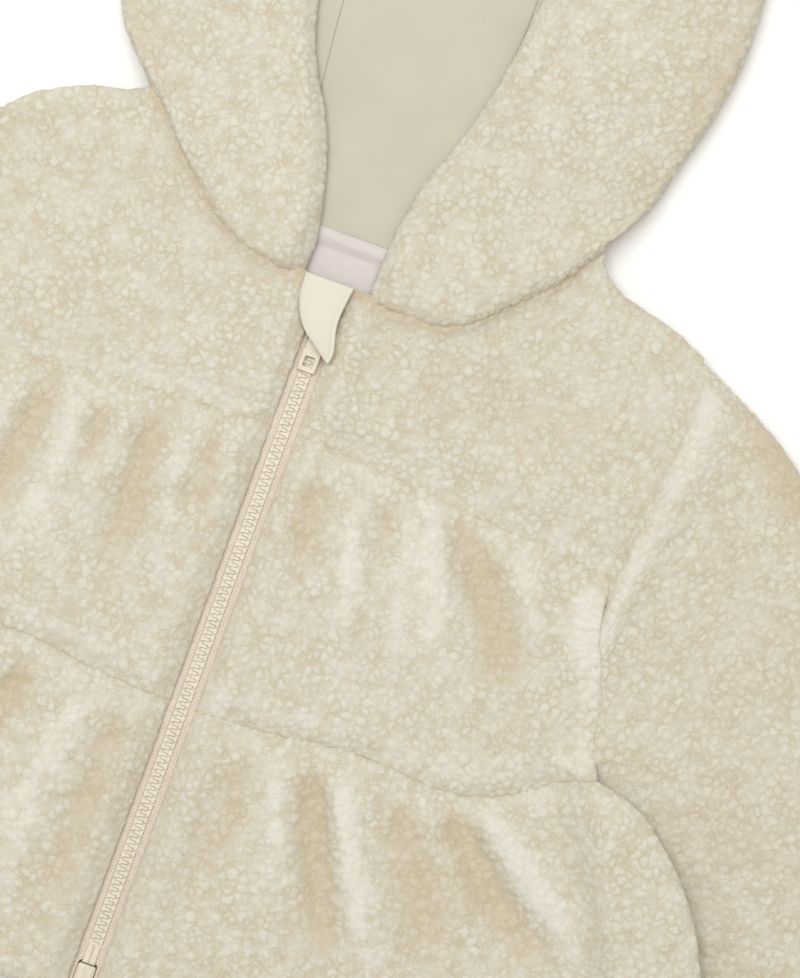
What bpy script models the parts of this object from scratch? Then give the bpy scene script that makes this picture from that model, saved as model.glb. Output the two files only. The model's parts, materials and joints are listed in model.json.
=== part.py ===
"""A child's hooded fleece jacket with a zip, laid flat on its back with the front up.

Frame: +X is the wearer's left, +Y runs from the hem to the hood and +Z points up off the surface.
The origin is on the surface, in the middle of the garment, below the top of the zip.
Sizes here are in millimetres, and MM turns them into metres when a mesh is made.
"""

import bpy
import numpy as np

MM = 0.001

# Cloth
FLEECE = 5.0            # fleece wall with its pile
LINING = 1.0            # smooth cotton
SEAM_GAP = 0.34         # clearance between two pieces that are sewn together
LAYER_GAP = 0.3         # clearance between a layer and the one it lies on
EDGE_ROUND = 3.5        # how far in from a seam or an edge the fleece is thinner
EDGE_HEIGHT = 0.55      # height of the fleece at its very edge, as a share of its wall
HOLLOW_SHARE = 0.45     # how far the wall's underside follows a fold; bunched cloth fills the rest

# Zip
ZIP_X = 0.6
CHAIN_HALF = 2.8
CHAIN_FOOT = 6.6        # height of the chain's underside
CHAIN_THICK = 2.6
CHAIN_TOP_Y = 13.0
CHAIN_LOW_Y = -268.0
TAPE_HALF = 14.0
TAPE_THICK = 0.6
FRONT_EDGE = 6.0        # the fronts stop this far from the zip's middle
PRESSED = 0.45          # how much of the fronts' lift over the tape the pile gives up
TAPE_TOP_Y = 20.5
TAPE_LOW_Y = -279.0
BOX_SIZE = (7.8, 9.4, 4.6)  # across, along the zip, thick
PIN_CLEAR = 0.4         # the tape's inner edge starts this far above the chain's low end
HINGE_Y = 13.0
HINGE_Z = 11.4
PLATE_HALF = 4.6        # the slider's two plates
PLATE_BELOW = 4.0       # how far they reach from the hinge, towards the hem
PLATE_ABOVE = 6.0       # and towards the neck
PLATE_THICK = 0.8
SLIDER_CLEAR_X = 5.5    # the tape is cut back to here beside the slider
POST_HALF = 1.4
ARCH_HALF = 1.1
ARCH_OUTER = (3.2, 2.3)  # reach and rise of the arch's outside, then of its inside
ARCH_INNER = (1.9, 1.5)
TAB_DROOP_DEG = 3.8
TAB_HALF = 3.85
TAB_THICK = 1.3
TAB_ROOT = 0.65         # the tab reaches this far past its hinge
TAB_X_LINES = (-TAB_HALF, -2.1, -1.55, 1.55, 2.1, TAB_HALF)
TAB_Y_LINES = (-18.0, -15.9, -11.5, -4.4, -TAB_ROOT, TAB_ROOT)
TAB_OPEN_CELLS = {(1, 1), (2, 1), (3, 1), (2, 3)}  # column and row: the square window, then the arch's slot

# Body, for the wearer's left; the right is its mirror
NECK_SIDE = (100.0, 84.0)
SHOULDER_POINT = (154.0, 56.5)
PIT = (153.0, -68.0)
SHOULDER_LEFT = [NECK_SIDE, (104, 76.5), (114, 69.5), (128, 66), (144, 61), SHOULDER_POINT]
SHOULDER_RIGHT = [NECK_SIDE, (110, 78.5), (122, 76), (133, 71.5), (145, 64.5), SHOULDER_POINT]
YOKE_ARMHOLE = [SHOULDER_POINT, (155, 31), (153, 7), (151, -21), (150, -42)]
TIER_ARMHOLE = [(150, -42), (150.5, -56), PIT]
TIER_SIDE = [PIT, (160, -83), (165, -104), (168.5, -115), (172, -123)]
YOKE_SEAM = [(0, -31), (40, -33), (95, -38), (150, -42)]
TIER_SEAM = [(0, -153), (40, -151), (83, -147), (118, -149), (144, -139), (160, -128), (172, -123)]
FLARE_SIDE = [(172, -123), (192, -128), (208, -139), (222, -153), (236, -174), (246, -199), (255, -228)]
HEM = [(0, -282), (45, -285), (95, -286), (150, -280), (205, -262), (255, -228)]
FRONT_NECK_LEFT = [(15, 33.2), (42, 32), (55, 36), (70, 49), (87, 66), (95, 77), NECK_SIDE]
FRONT_NECK_RIGHT = [(14, 33.2), (30, 33.8), (44, 37), (55, 43), (64, 50.5), (81, 66), (92, 78), NECK_SIDE]
BACK_NECK = [(0, 55), (30, 56.2), (55, 60), (80, 70), NECK_SIDE]
NECK_BREAK = 0.63       # where along the yoke's top edge the neck ends and the shoulder begins

# Sleeve, wearer's left
CUFF_OUT = (322.0, -205.0)
CUFF_IN = (240.0, -245.0)
SLEEVE_OUTER = [SHOULDER_POINT, (176, 46), (206, 28), (232, 0), (252, -34), (276, -92), (300, -149), CUFF_OUT]
SLEEVE_INNER = [PIT, (160.5, -83), (166, -104), (174, -123), (190, -153), (207, -185), (224, -216), CUFF_IN]
SLEEVE_LOWER_WALL = 5.4
SLEEVE_SLIT = 3.0       # the flattened hollow between the two walls
SLEEVE_HEIGHT = 13.2
CAP_ROLL = 4.6          # the raised roll along the armhole seam
FLARE_REST = 14.2       # height at which the flare lies on the sleeve
FLARE_RAMP = 20.0       # length over which it climbs there

# Hood
HOOD_TOP_Y = 286.0
HOOD_LOW = 7.3          # underside of the hood's upper layer
HOOD_HEIGHT = 13.0
FOLD_LEFT = [NECK_SIDE, (104, 92), (112, 106), (117, 124), (122, 142), (127, 168), (128, 198), (122, 230),
             (109, 256), (88, 274), (61, 284)]
FOLD_RIGHT = [NECK_SIDE, (110, 94), (120, 105), (126, 118), (129, 136), (131, 165), (130, 198), (124, 230),
              (111, 256), (89, 274), (61, 284)]
OPENING_LEFT = [(15, 33.2), (15, 46), (16, 60), (21, 87), (26, 101), (32, 121), (36, 139), (39, 162),
                (41, 188), (39.5, 212), (34.5, 234), (34.5, 258), (36.3, 286)]
OPENING_RIGHT = [(14, 33.2), (14.5, 54), (19, 73), (22.5, 85), (30, 101), (39.5, 118), (46.5, 138), (50, 162),
                 (49.5, 190), (44, 214), (35.5, 234), (34.5, 258), (36.3, 286)]
BACK_SEAM = [(30, 56.2), (34, 108), (38, 150), (38, 200), (37, 250), (36.3, 286)]
FRONT_PEAK_Y = 238.0    # lower edge of the centre panel's turned-over end
LINING_REACH = 13.0     # how far the lining goes on under the hood's upper layer
LINING_SEAM_SHARE = 0.79  # how far up the back seam the lining is built
LINING_SIDE_SHARES = (0.14, 0.80)

# Label and chin guard
LABEL_OUTLINE = [(-13.3, 25.0), (14.7, 25.0), (14.7, 54.5), (-13.3, 54.5)]
LABEL_THICK = 0.6
GUARD_LEFT_EDGE = [(-13.3, 32.6), (-12.6, 25), (-9.9, 17.2), (-6.3, 12), (-3.6, 9.4), (0, 6.8), (3.9, 3.9),
                   (7.6, 1.2)]
GUARD_RIGHT_EDGE = [(9.3, 32.6), (9.0, 22), (7.9, 12.5), (9.0, 6), (9.3, 3), (8.6, 0.9)]
GUARD_LOW = 13.6        # height of the guard's underside
GUARD_THICK = 1.3
GUARD_ARCH = 0.7        # how much it rises over the slider
GUARD_TIP_LIFT = 1.5    # how much its tip stands off the tab

# Folds. Each row is a soft ridge (height over 0) or trough (height under 0) along a line of three
# points: start_x, start_y, middle_x, middle_y, end_x, end_y, width at the start and the end, height.
FOLDS_MIDDLE_LEFT = [
    (31, -40, 31, -92, 33, -142, 6, 10, -2.6),
    (49, -42, 49, -88, 50, -136, 5, 6, 1.6),
    (61, -34, 61, -62, 62, -98, 5, 6, -3.0),
    (73, -40, 76, -88, 78, -136, 6, 8, 2.0),
    (80, -38, 91, -66, 96, -110, 5, 7, -3.8),
    (97, -40, 115, -66, 130, -108, 5, 9, -4.0),
    (128, -52, 140, -84, 152, -112, 11, 13, 3.4),
]
FOLDS_MIDDLE_RIGHT = [
    (24, -42, 25, -88, 27, -130, 5, 8, -1.8),
    (50, -38, 49, -78, 47, -122, 6, 9, -3.6),
    (67, -38, 67, -56, 68, -80, 5, 5, -2.6),
    (80, -44, 80, -88, 84, -134, 7, 9, 1.8),
    (96, -42, 101, -82, 110, -124, 5, 8, -3.2),
    (118, -44, 124, -78, 134, -112, 5, 8, -2.8),
    (136, -58, 144, -88, 155, -112, 10, 12, 3.0),
]
FOLDS_LOWER_LEFT = [
    (28, -160, 30, -206, 34, -262, 6, 12, -2.2),
    (44, -160, 49, -210, 56, -276, 6, 11, 1.6),
    (54, -154, 86, -197, 116, -268, 5, 9, -5.2),
    (72, -156, 104, -200, 136, -266, 6, 11, 2.6),
    (91, -150, 122, -180, 176, -236, 6, 16, -4.4),
    (121, -150, 156, -177, 206, -207, 5, 9, -5.0),
    (131, -144, 165, -166, 216, -196, 7, 10, 4.0),
    (160, -214, 186, -230, 214, -244, 10, 12, 2.0),
]
FOLDS_LOWER_RIGHT = [
    (22, -160, 24, -208, 28, -266, 6, 11, -2.4),
    (40, -160, 46, -212, 56, -276, 7, 11, 2.0),
    (64, -156, 80, -202, 100, -264, 5, 9, -4.4),
    (84, -156, 104, -200, 134, -264, 6, 11, 2.6),
    (104, -152, 130, -190, 170, -240, 6, 13, -4.2),
    (130, -146, 160, -172, 206, -204, 6, 9, -4.4),
    (142, -140, 172, -160, 216, -190, 7, 10, 3.6),
]
PUFF_MIDDLE = 3.6       # how high the gathered middle tier stands between its seams
PUFF_LOWER = 4.6
PUFF_YOKE = 1.0
PUFF_RISE = 16.0        # length over which a tier swells out below its gathered seam
PUFF_FALL = 20.0        # length over which it falls again to the next seam
FLAT_BY_ZIP = 18.0      # length over which a tier swells out from the zip
FOLD_PARTS = 8          # straight parts that a fold's line is measured along
SOFT_FLOOR = 1.2        # rounding, in mm squared, where a trough reaches the layer below

COLOURS = {
    "fleece": (0.80, 0.76, 0.66),
    "cotton": (0.74, 0.69, 0.56),
    "guard": (0.86, 0.81, 0.69),
    "label": (0.74, 0.68, 0.68),
    "tape": (0.76, 0.67, 0.55),
    "plastic": (0.82, 0.74, 0.59),
}
ROUGHNESS = {"fleece": 0.95, "cotton": 0.85, "guard": 0.85, "label": 0.6, "tape": 0.9, "plastic": 0.4}


# ---------------------------------------------------------------- curves and grids

def curve_through(points, steps):
    """Smooth curve through the points, read at the given fractions of its length."""
    points = np.array(points, float)
    reach = np.linalg.norm(np.diff(points, axis=0), axis=1)
    place = np.concatenate([[0.0], np.cumsum(reach)]) / reach.sum()
    gap = np.diff(place)
    slope = np.diff(points, axis=0) / gap[:, None]
    # A natural cubic spline: one linear equation for the bend at each inner point.
    count = len(points)
    system = np.eye(count)
    known = np.zeros_like(points)
    for row in range(1, count - 1):
        system[row, row - 1:row + 2] = gap[row - 1], 2 * (gap[row - 1] + gap[row]), gap[row]
        known[row] = 6 * (slope[row] - slope[row - 1])
    bend = np.linalg.solve(system, known)
    steps = np.asarray(steps, float)
    index = np.clip(np.searchsorted(place, steps, side="right") - 1, 0, count - 2)
    width = gap[index][:, None]
    before = (place[index + 1] - steps)[:, None] / width
    after = 1 - before
    return (before * points[index] + after * points[index + 1]
            + ((before ** 3 - before) * bend[index] + (after ** 3 - after) * bend[index + 1]) * width ** 2 / 6)


def mirrored(points, side):
    """The same points on the wearer's left (side 1) or right (side -1)."""
    return np.array(points, float) * (side, 1)


def soft_step(value):
    value = np.clip(value, 0, 1)
    return value * value * (3 - 2 * value)


def coons(low, high, start, end, across, along):
    """Fill four edges: low and high run across, start and end run along. Gives rows, columns, 2."""
    s = np.asarray(across)[None, :, None]
    t = np.asarray(along)[:, None, None]
    ruled_up = (1 - t) * low[None] + t * high[None]
    ruled_over = (1 - s) * start[:, None] + s * end[:, None]
    corners = ((1 - s) * (1 - t) * low[0] + s * (1 - t) * low[-1]
               + (1 - s) * t * high[0] + s * t * high[-1])
    return ruled_up + ruled_over - corners


def edged(count, width):
    """Even steps from 0 to 1, with one more line EDGE_ROUND in from each end."""
    margin = EDGE_ROUND / width
    return np.concatenate([[0.0], np.linspace(margin, 1 - margin, count - 1), [1.0]])


def drawn_in(plan, amount=SEAM_GAP / 2):
    """Move the outer lines of a grid inwards, so that a seam's two pieces stay clear of each other."""
    plan = plan.copy()
    for edge, inner in ((0, 1), (-1, -2)):
        step = plan[inner] - plan[edge]
        plan[edge] += step * (amount / np.linalg.norm(step, axis=-1, keepdims=True))
    for edge, inner in ((0, 1), (-1, -2)):
        step = plan[:, inner] - plan[:, edge]
        plan[:, edge] += step * (amount / np.linalg.norm(step, axis=-1, keepdims=True))
    return plan


def rim_share(shape):
    """1 inside a grid and 0 on its outer lines."""
    inside = np.ones(shape)
    inside[[0, -1]] = 0
    inside[:, [0, -1]] = 0
    return inside


# ---------------------------------------------------------------- the cloth's heights

def along_line(x, y, row):
    """How far each point is from a fold's line, and how far along it, from 0 to 1."""
    line = curve_through([row[0:2], row[2:4], row[4:6]], np.linspace(0, 1, FOLD_PARTS + 1))
    best = np.full(x.shape, 1e9)
    share = np.zeros(x.shape)
    for number in range(FOLD_PARTS):
        start, end = line[number], line[number + 1]
        step = end - start
        part = np.clip(((x - start[0]) * step[0] + (y - start[1]) * step[1]) / (step @ step), 0, 1)
        away = np.hypot(x - start[0] - part * step[0], y - start[1] - part * step[1])
        nearer = away < best
        best = np.where(nearer, away, best)
        share = np.where(nearer, (number + part) / FOLD_PARTS, share)
    return best, share


def fold_height(x, y, rows):
    """Sum of the folds: each is a bell across its line that fades at both ends."""
    total = np.zeros(x.shape)
    for row in rows:
        away, share = along_line(x, y, row)
        width = row[6] + (row[7] - row[6]) * share
        fade = soft_step(0.35 + share / 0.25) * soft_step((1.08 - share) / 0.4)
        total += row[8] * fade * np.exp(-(away / width) ** 2)
    return total


def line_height(x, table):
    """The y of a seam at each x."""
    line = curve_through(table, np.linspace(0, 1, 60))
    return np.interp(np.abs(x), line[:, 0], line[:, 1])


def sleeve_edge_distance(x, y):
    """How far a point is past the sleeve's inner edge, towards the middle of the sleeve."""
    edge = curve_through(SLEEVE_INNER, np.linspace(0, 1, 60))[::-1]
    slant = np.hypot(CUFF_IN[0] - PIT[0], CUFF_IN[1] - PIT[1]) / (PIT[1] - CUFF_IN[1])
    return (np.abs(x) - np.interp(y, edge[:, 1], edge[:, 0])) / slant


def rest_height(x, y):
    """What the lower tier lies on: the surface, and the sleeve where it reaches over it."""
    climb = soft_step((sleeve_edge_distance(x, y) + FLARE_RAMP + 1) / FLARE_RAMP)
    return FLARE_REST * climb * soft_step((-115.0 - y) / 9)


def zip_lift(x):
    """The fronts lie on the zip's tape near the middle."""
    lift = CHAIN_FOOT + CHAIN_THICK / 2 + TAPE_THICK / 2 + LAYER_GAP - FLEECE - LAYER_GAP
    return lift * (1 - soft_step((np.abs(x - ZIP_X) - TAPE_HALF - 1) / 10))


def front_relief(x, y, rows, puff, upper, lower):
    """Height of a gathered tier over its lowest lie: a puff between two seams, with its folds."""
    top = line_height(x, upper)
    low = line_height(x, lower)
    swell = soft_step((top - y) / PUFF_RISE) * soft_step(0.25 + (y - low) / PUFF_FALL)
    away = soft_step((np.abs(x - ZIP_X) - 4) / FLAT_BY_ZIP)
    height = puff * swell * (0.35 + 0.65 * away) + fold_height(np.abs(x), y, rows) * (0.25 + 0.75 * swell)
    # A soft floor at zero, so that no trough cuts into the layer below.
    return 0.5 * (height + np.sqrt(height ** 2 + SOFT_FLOOR))


# ---------------------------------------------------------------- meshes

def material(finish, name):
    """Each object has its own material, with the finish's colour and roughness."""
    made = bpy.data.materials.new(name)
    made.use_nodes = True
    shader = made.node_tree.nodes["Principled BSDF"]
    shader.inputs["Base Color"].default_value = (*COLOURS[finish], 1)
    shader.inputs["Roughness"].default_value = ROUGHNESS[finish]
    shader.inputs["Metallic"].default_value = 0
    return made


def add_object(name, points, faces, finish):
    """Make a mesh object from points in millimetres."""
    mesh = bpy.data.meshes.new(name)
    points = np.asarray(points, float) * MM
    mesh.from_pydata([tuple(point) for point in points], [], [tuple(face) for face in faces])
    mesh.validate()
    mesh.update()
    mesh.shade_smooth()
    mesh.set_sharp_from_angle(angle=np.radians(50))
    made = bpy.data.objects.new(name, mesh)
    mesh.materials.append(material(finish, name))
    bpy.context.collection.objects.link(made)
    return made


def grid_faces(rows, columns, first=0, turned=False, other_way=0):
    """Triangles of a grid of points, facing up when its rows run along +Y and its columns along +X.

    Two layers that share their lines share their diagonals too, so they can't cut each other between
    the lines. The first other_way columns have the other diagonal.
    """
    number = first + np.arange(rows * columns).reshape(rows, columns)
    a, b, c, d = number[:-1, :-1], number[:-1, 1:], number[1:, 1:], number[1:, :-1]
    one = np.stack([np.stack([a, b, c], -1), np.stack([a, c, d], -1)], -2)
    other = np.stack([np.stack([a, b, d], -1), np.stack([b, c, d], -1)], -2)
    triangles = np.concatenate([other[:, :other_way], one[:, other_way:]], axis=1).reshape(-1, 3)
    return triangles[:, ::-1] if turned else triangles


def rim_loop(rows, columns):
    """The outer points of a grid, in order."""
    number = np.arange(rows * columns).reshape(rows, columns)
    return np.concatenate([number[0, :-1], number[:-1, -1], number[-1, :0:-1], number[:0:-1, 0]])


def wall_between(name, under, over, finish, flip, other_way=0):
    """Close the space between two grids of points into one body."""
    rows, columns = over.shape[:2]
    count = rows * columns
    loop = rim_loop(rows, columns)
    after = np.roll(loop, -1)
    faces = np.concatenate([
        grid_faces(rows, columns, 0, False, other_way),
        grid_faces(rows, columns, count, True, other_way),
        np.stack([loop, loop + count, after + count], -1),
        np.stack([loop, after + count, after], -1)])
    if flip:
        faces = faces[:, ::-1]
    points = np.concatenate([over.reshape(-1, 3), under.reshape(-1, 3)])
    return add_object(name, points, faces, finish)


def lifted(plan, height):
    return np.concatenate([plan, height[..., None]], -1)


def flat_piece(name, outline, low, high, finish):
    """A piece of even thickness with the given outline."""
    outline = np.asarray(outline, float)
    x, y = outline[:, 0], outline[:, 1]
    if np.sum(x * np.roll(y, -1) - y * np.roll(x, -1)) < 0:
        outline = outline[::-1]
    count = len(outline)
    points = np.concatenate([lifted(outline, np.full(count, high)), lifted(outline, np.full(count, low))])
    loop = np.arange(count)
    after = np.roll(loop, -1)
    sides = np.stack([loop, loop + count, after + count, after], -1)
    faces = [list(loop), list(loop[::-1] + count)] + [list(side) for side in sides]
    return add_object(name, points, faces, finish)


def inset_outline(outline, amount=SEAM_GAP / 2):
    """Draw a closed outline in by a small amount on every side."""
    outline = np.asarray(outline, float)
    x, y = outline[:, 0], outline[:, 1]
    turn = np.sign(np.sum(x * np.roll(y, -1) - y * np.roll(x, -1)))
    before = outline - np.roll(outline, 1, 0)
    after = np.roll(outline, -1, 0) - outline
    before = before / np.linalg.norm(before, axis=1, keepdims=True)
    after = after / np.linalg.norm(after, axis=1, keepdims=True)
    inward = turn * np.stack([-(before + after)[:, 1], (before + after)[:, 0]], -1)
    square = inward @ inward.T
    length = np.sqrt(np.diag(square))[:, None]
    # At a corner the inset point is further off than on a straight side.
    return outline + inward / length * (amount / np.maximum(length / 2, 0.5))


# ---------------------------------------------------------------- back

def back_panels():
    """The back yoke and middle tier are flat; the lower tier climbs over the sleeves."""
    steps = np.linspace(0, 1, 9)
    short = np.linspace(0, 1, 6)
    neck = curve_through(BACK_NECK, steps)
    armhole = curve_through(YOKE_ARMHOLE, short)
    yoke_seam = curve_through(YOKE_SEAM, short)[::-1]
    halves = []
    for table in (SHOULDER_LEFT, SHOULDER_RIGHT):
        shoulder = curve_through(table, short)
        halves.append(np.concatenate([neck, shoulder[1:], armhole[1:], yoke_seam[1:]]))
    outline = np.concatenate([halves[0], (halves[1] * (-1, 1))[-2:0:-1]])
    flat_piece("back_yoke", inset_outline(outline), 0, FLEECE, "fleece")

    low_armhole = curve_through(TIER_ARMHOLE, np.linspace(0, 1, 4))
    side = curve_through(TIER_SIDE, short)
    tier_seam = [lower_plan(sign)[-1] for sign in (1, -1)]
    left = np.concatenate([yoke_seam[::-1], low_armhole[1:], side[1:-1], tier_seam[0][::-1]])
    right = np.concatenate([tier_seam[1], (side[1:-1] * (-1, 1))[::-1], (low_armhole[1:] * (-1, 1))[::-1],
                            (yoke_seam[:-1] * (-1, 1))])
    flat_piece("back_middle_tier", inset_outline(np.concatenate([left, right])), 0, FLEECE, "fleece")

    # The lower tier's back has the lines of the two fronts that lie on it.
    plan = drawn_in(np.concatenate([lower_plan(-1)[:, ::-1], lower_plan(1)], axis=1))
    under = rest_height(plan[..., 0], plan[..., 1])
    edge = rim_share(under.shape)
    over = under + FLEECE * (EDGE_HEIGHT + (1 - EDGE_HEIGHT) * edge)
    wall_between("back_lower_tier", lifted(plan, under), lifted(plan, over), "fleece", False,
                 plan.shape[1] // 2)


# ---------------------------------------------------------------- fronts

def front_wall(name, plan, relief, side):
    """A front panel over the back, with its relief, its zip edge on the tape and its edges thinned."""
    plan = drawn_in(plan)
    x, y = plan[..., 0], plan[..., 1]
    bottom = FLEECE + LAYER_GAP + rest_height(x, y) + zip_lift(x)
    height = relief(x, y)
    edge = rim_share(x.shape)
    under = bottom + HOLLOW_SHARE * height
    wall = FLEECE * (EDGE_HEIGHT + (1 - EDGE_HEIGHT) * edge)
    # The pile is pressed down along the zip.
    over = under + wall + (1 - HOLLOW_SHARE) * height - PRESSED * zip_lift(x) * edge
    wall_between(name, lifted(plan, under), lifted(plan, over), "fleece", side < 0)


def zip_edge_x(side):
    return ZIP_X + side * FRONT_EDGE


def from_zip(table, side):
    """Cut a line that starts on the middle back to the edge of the front."""
    table = mirrored(table, side)
    table[0, 0] = zip_edge_x(side)
    return table


def yoke_plan(side):
    """Five edges as four: the top edge is the neck, then the shoulder."""
    neck_table = FRONT_NECK_LEFT if side > 0 else FRONT_NECK_RIGHT
    edge_x = zip_edge_x(side)
    neck_steps = hood_front_steps()
    shoulder_steps = np.linspace(0, 1, 6)[1:]
    corner_share = 0.057
    across = np.concatenate([[0, corner_share / 2], corner_share + (NECK_BREAK - corner_share) * neck_steps,
                             NECK_BREAK + (1 - NECK_BREAK) * shoulder_steps])
    neck = curve_through(mirrored(neck_table, side), neck_steps)
    corner = np.array([[edge_x, neck[0, 1]], [(edge_x + neck[0, 0]) / 2, neck[0, 1]]])
    shoulder_table = SHOULDER_LEFT if side > 0 else SHOULDER_RIGHT
    top = np.concatenate([corner, neck, curve_through(mirrored(shoulder_table, side), shoulder_steps)])
    seam = curve_through(from_zip(YOKE_SEAM, side), across)
    along = edged(7, 95)
    outer = curve_through(mirrored(YOKE_ARMHOLE, side), 1 - along)
    return coons(seam, top, straight_edge(seam[0], top[0], along), outer, across, along)


def middle_plan(side):
    across = edged(19, 145)
    along = edged(9, 105)
    seam = curve_through(from_zip(YOKE_SEAM, side), across)
    low = curve_through(from_zip(TIER_SEAM, side), across)
    outer_table = np.concatenate([curve_through(TIER_ARMHOLE, np.linspace(0, 1, 4)), TIER_SIDE[1:]])
    outer = curve_through(mirrored(outer_table, side), 1 - along)
    return coons(low, seam, straight_edge(low[0], seam[0], along), outer, across, along)


def lower_plan(side):
    across = edged(19, 200)
    along = edged(10, 125)
    seam = curve_through(from_zip(TIER_SEAM, side), across)
    hem = curve_through(from_zip(HEM, side), across)
    outer = curve_through(mirrored(FLARE_SIDE, side), 1 - along)
    return coons(hem, seam, straight_edge(hem[0], seam[0], along), outer, across, along)


def straight_edge(start, end, steps):
    return start + (end - start) * np.asarray(steps)[:, None]


def yoke_relief(x, y):
    """The yoke is nearly flat: a soft swell off its lower seam and one out by the shoulder."""
    swell = soft_step((y - line_height(x, YOKE_SEAM)) / 14)
    bulge = 1.2 * np.exp(-((y + 16) / 12) ** 2) + 0.8 * np.exp(-((np.abs(x) - 120) / 22) ** 2)
    return 0.2 + PUFF_YOKE * swell + bulge * swell * soft_step((np.abs(x - ZIP_X) - 4) / 16)


def front_panels(side):
    name = "left" if side > 0 else "right"
    middle_rows = FOLDS_MIDDLE_LEFT if side > 0 else FOLDS_MIDDLE_RIGHT
    lower_rows = FOLDS_LOWER_LEFT if side > 0 else FOLDS_LOWER_RIGHT
    below_hem = [(0, -300), (255, -300)]
    front_wall(f"front_yoke_{name}", yoke_plan(side), yoke_relief, side)
    front_wall(f"front_middle_tier_{name}", middle_plan(side),
               lambda x, y: front_relief(x, y, middle_rows, PUFF_MIDDLE, YOKE_SEAM, TIER_SEAM), side)
    front_wall(f"front_lower_tier_{name}", lower_plan(side),
               lambda x, y: front_relief(x, y, lower_rows, PUFF_LOWER, TIER_SEAM, below_hem), side)


# ---------------------------------------------------------------- sleeves

def sleeve_top(share, reach):
    """Height of the sleeve's upper wall: share runs from its outer to its inner edge, reach in mm."""
    cap = CAP_ROLL * soft_step(reach / 7) * (1 - soft_step((reach - 10) / 12))
    swell = 1.6 * np.sin(np.pi * share) * (1 - share)
    start = -1.6 * (1 - soft_step(reach / 5))
    return SLEEVE_HEIGHT + cap * (0.35 + 0.65 * np.sin(np.pi * share)) + swell + start


def sleeve(side):
    """A flattened tube, open at the cuff, with its walls apart by the slit where an arm goes."""
    along = np.concatenate([[0, 0.016, 0.04, 0.075, 0.12], np.linspace(0.19, 1, 9)])
    turn = np.radians(np.linspace(90, -90, 5))
    over_share = np.linspace(0, 1, 9)[1:-1]
    under_share = over_share[::-1]

    shares = np.linspace(0, 1, 41)
    armhole = np.concatenate([curve_through(YOKE_ARMHOLE, np.linspace(0, 1, 9)),
                              curve_through(TIER_ARMHOLE, np.linspace(0, 1, 4))[1:]])
    armhole = curve_through(armhole, shares) + (0.35, 0)
    cuff = curve_through([CUFF_OUT, CUFF_IN], shares)
    outer = curve_through(SLEEVE_OUTER, along) + (0.35, 0) * (1 - along[:, None])
    inner = curve_through(SLEEVE_INNER, along) + (0.35, 0) * (1 - along[:, None])
    plan_rows = coons(armhole, cuff, outer, inner, shares, along)

    outside, inside = [], []
    for number, row in enumerate(plan_rows):
        width = np.linalg.norm(np.diff(row, axis=0), axis=1).sum()
        reach = np.linalg.norm(row - plan_rows[0], axis=1)

        def place(share, height):
            x = np.interp(share, shares, row[:, 0])
            y = np.interp(share, shares, row[:, 1])
            return np.stack([x * side, y, height], -1)

        def reach_at(share):
            return np.interp(share, shares, reach)

        half = SLEEVE_HEIGHT / 2
        slit = SLEEVE_SLIT / 2
        slit_middle = SLEEVE_LOWER_WALL + slit
        # Outer skin: round the inner edge, back under, round the outer edge, over the top.
        skin_off = half * (1 - np.cos(turn)) / width
        slit_off = (FLEECE + slit * (1 - np.cos(turn))) / width

        def round_edge(share):
            """Height round an edge, from the top (turn at 90 degrees) to the underside."""
            scale = sleeve_top(share, reach_at(share)) / SLEEVE_HEIGHT
            return half * (1 + np.sin(turn)) * (1 + (scale - 1) * np.clip(np.sin(turn), 0, 1))

        edge_share = half / width
        over = edge_share + (1 - 2 * edge_share) * over_share
        under = edge_share + (1 - 2 * edge_share) * under_share
        outside.append(np.concatenate([
            place(over, sleeve_top(over, reach_at(over))),
            place(1 - skin_off, round_edge(1 - skin_off)),
            place(under, np.zeros(len(under))),
            place(skin_off[::-1], round_edge(skin_off)[::-1])]))
        slit_share = (FLEECE + slit) / width
        over_in = slit_share + (1 - 2 * slit_share) * over_share
        under_in = slit_share + (1 - 2 * slit_share) * under_share
        inside.append(np.concatenate([
            place(over_in, np.full(len(over_in), slit_middle + slit)),
            place(1 - slit_off, slit_middle + slit * np.sin(turn)),
            place(under_in, np.full(len(under_in), slit_middle - slit)),
            place(slit_off[::-1], slit_middle + slit * np.sin(turn[::-1]))]))
    tube("sleeve_" + ("left" if side > 0 else "right"), np.array(outside), np.array(inside), "fleece", side > 0)


def tube(name, outside, inside, finish, flip):
    """A tube of rings with an outer and an inner skin, and flat ends between them."""
    rows, ring = outside.shape[:2]
    count = rows * ring
    number = np.arange(count).reshape(rows, ring)
    after = np.roll(number, -1, axis=1)
    skin = np.stack([number[:-1], number[1:], after[1:], after[:-1]], -1).reshape(-1, 4)
    start = np.stack([number[0], after[0], after[0] + count, number[0] + count], -1)
    end = np.stack([number[-1], number[-1] + count, after[-1] + count, after[-1]], -1)
    faces = np.concatenate([skin, skin[:, ::-1] + count, start, end])
    if flip:
        faces = faces[:, ::-1]
    points = np.concatenate([outside.reshape(-1, 3), inside.reshape(-1, 3)])
    return add_object(name, points, faces, finish)


# ---------------------------------------------------------------- hood

def hood_front_steps():
    """Where the hood's upper layer has its lines, from the opening's edge to near the fold."""
    return np.concatenate([[0, 0.045], np.linspace(0.14, 0.9, 7), [1.0]])


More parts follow.
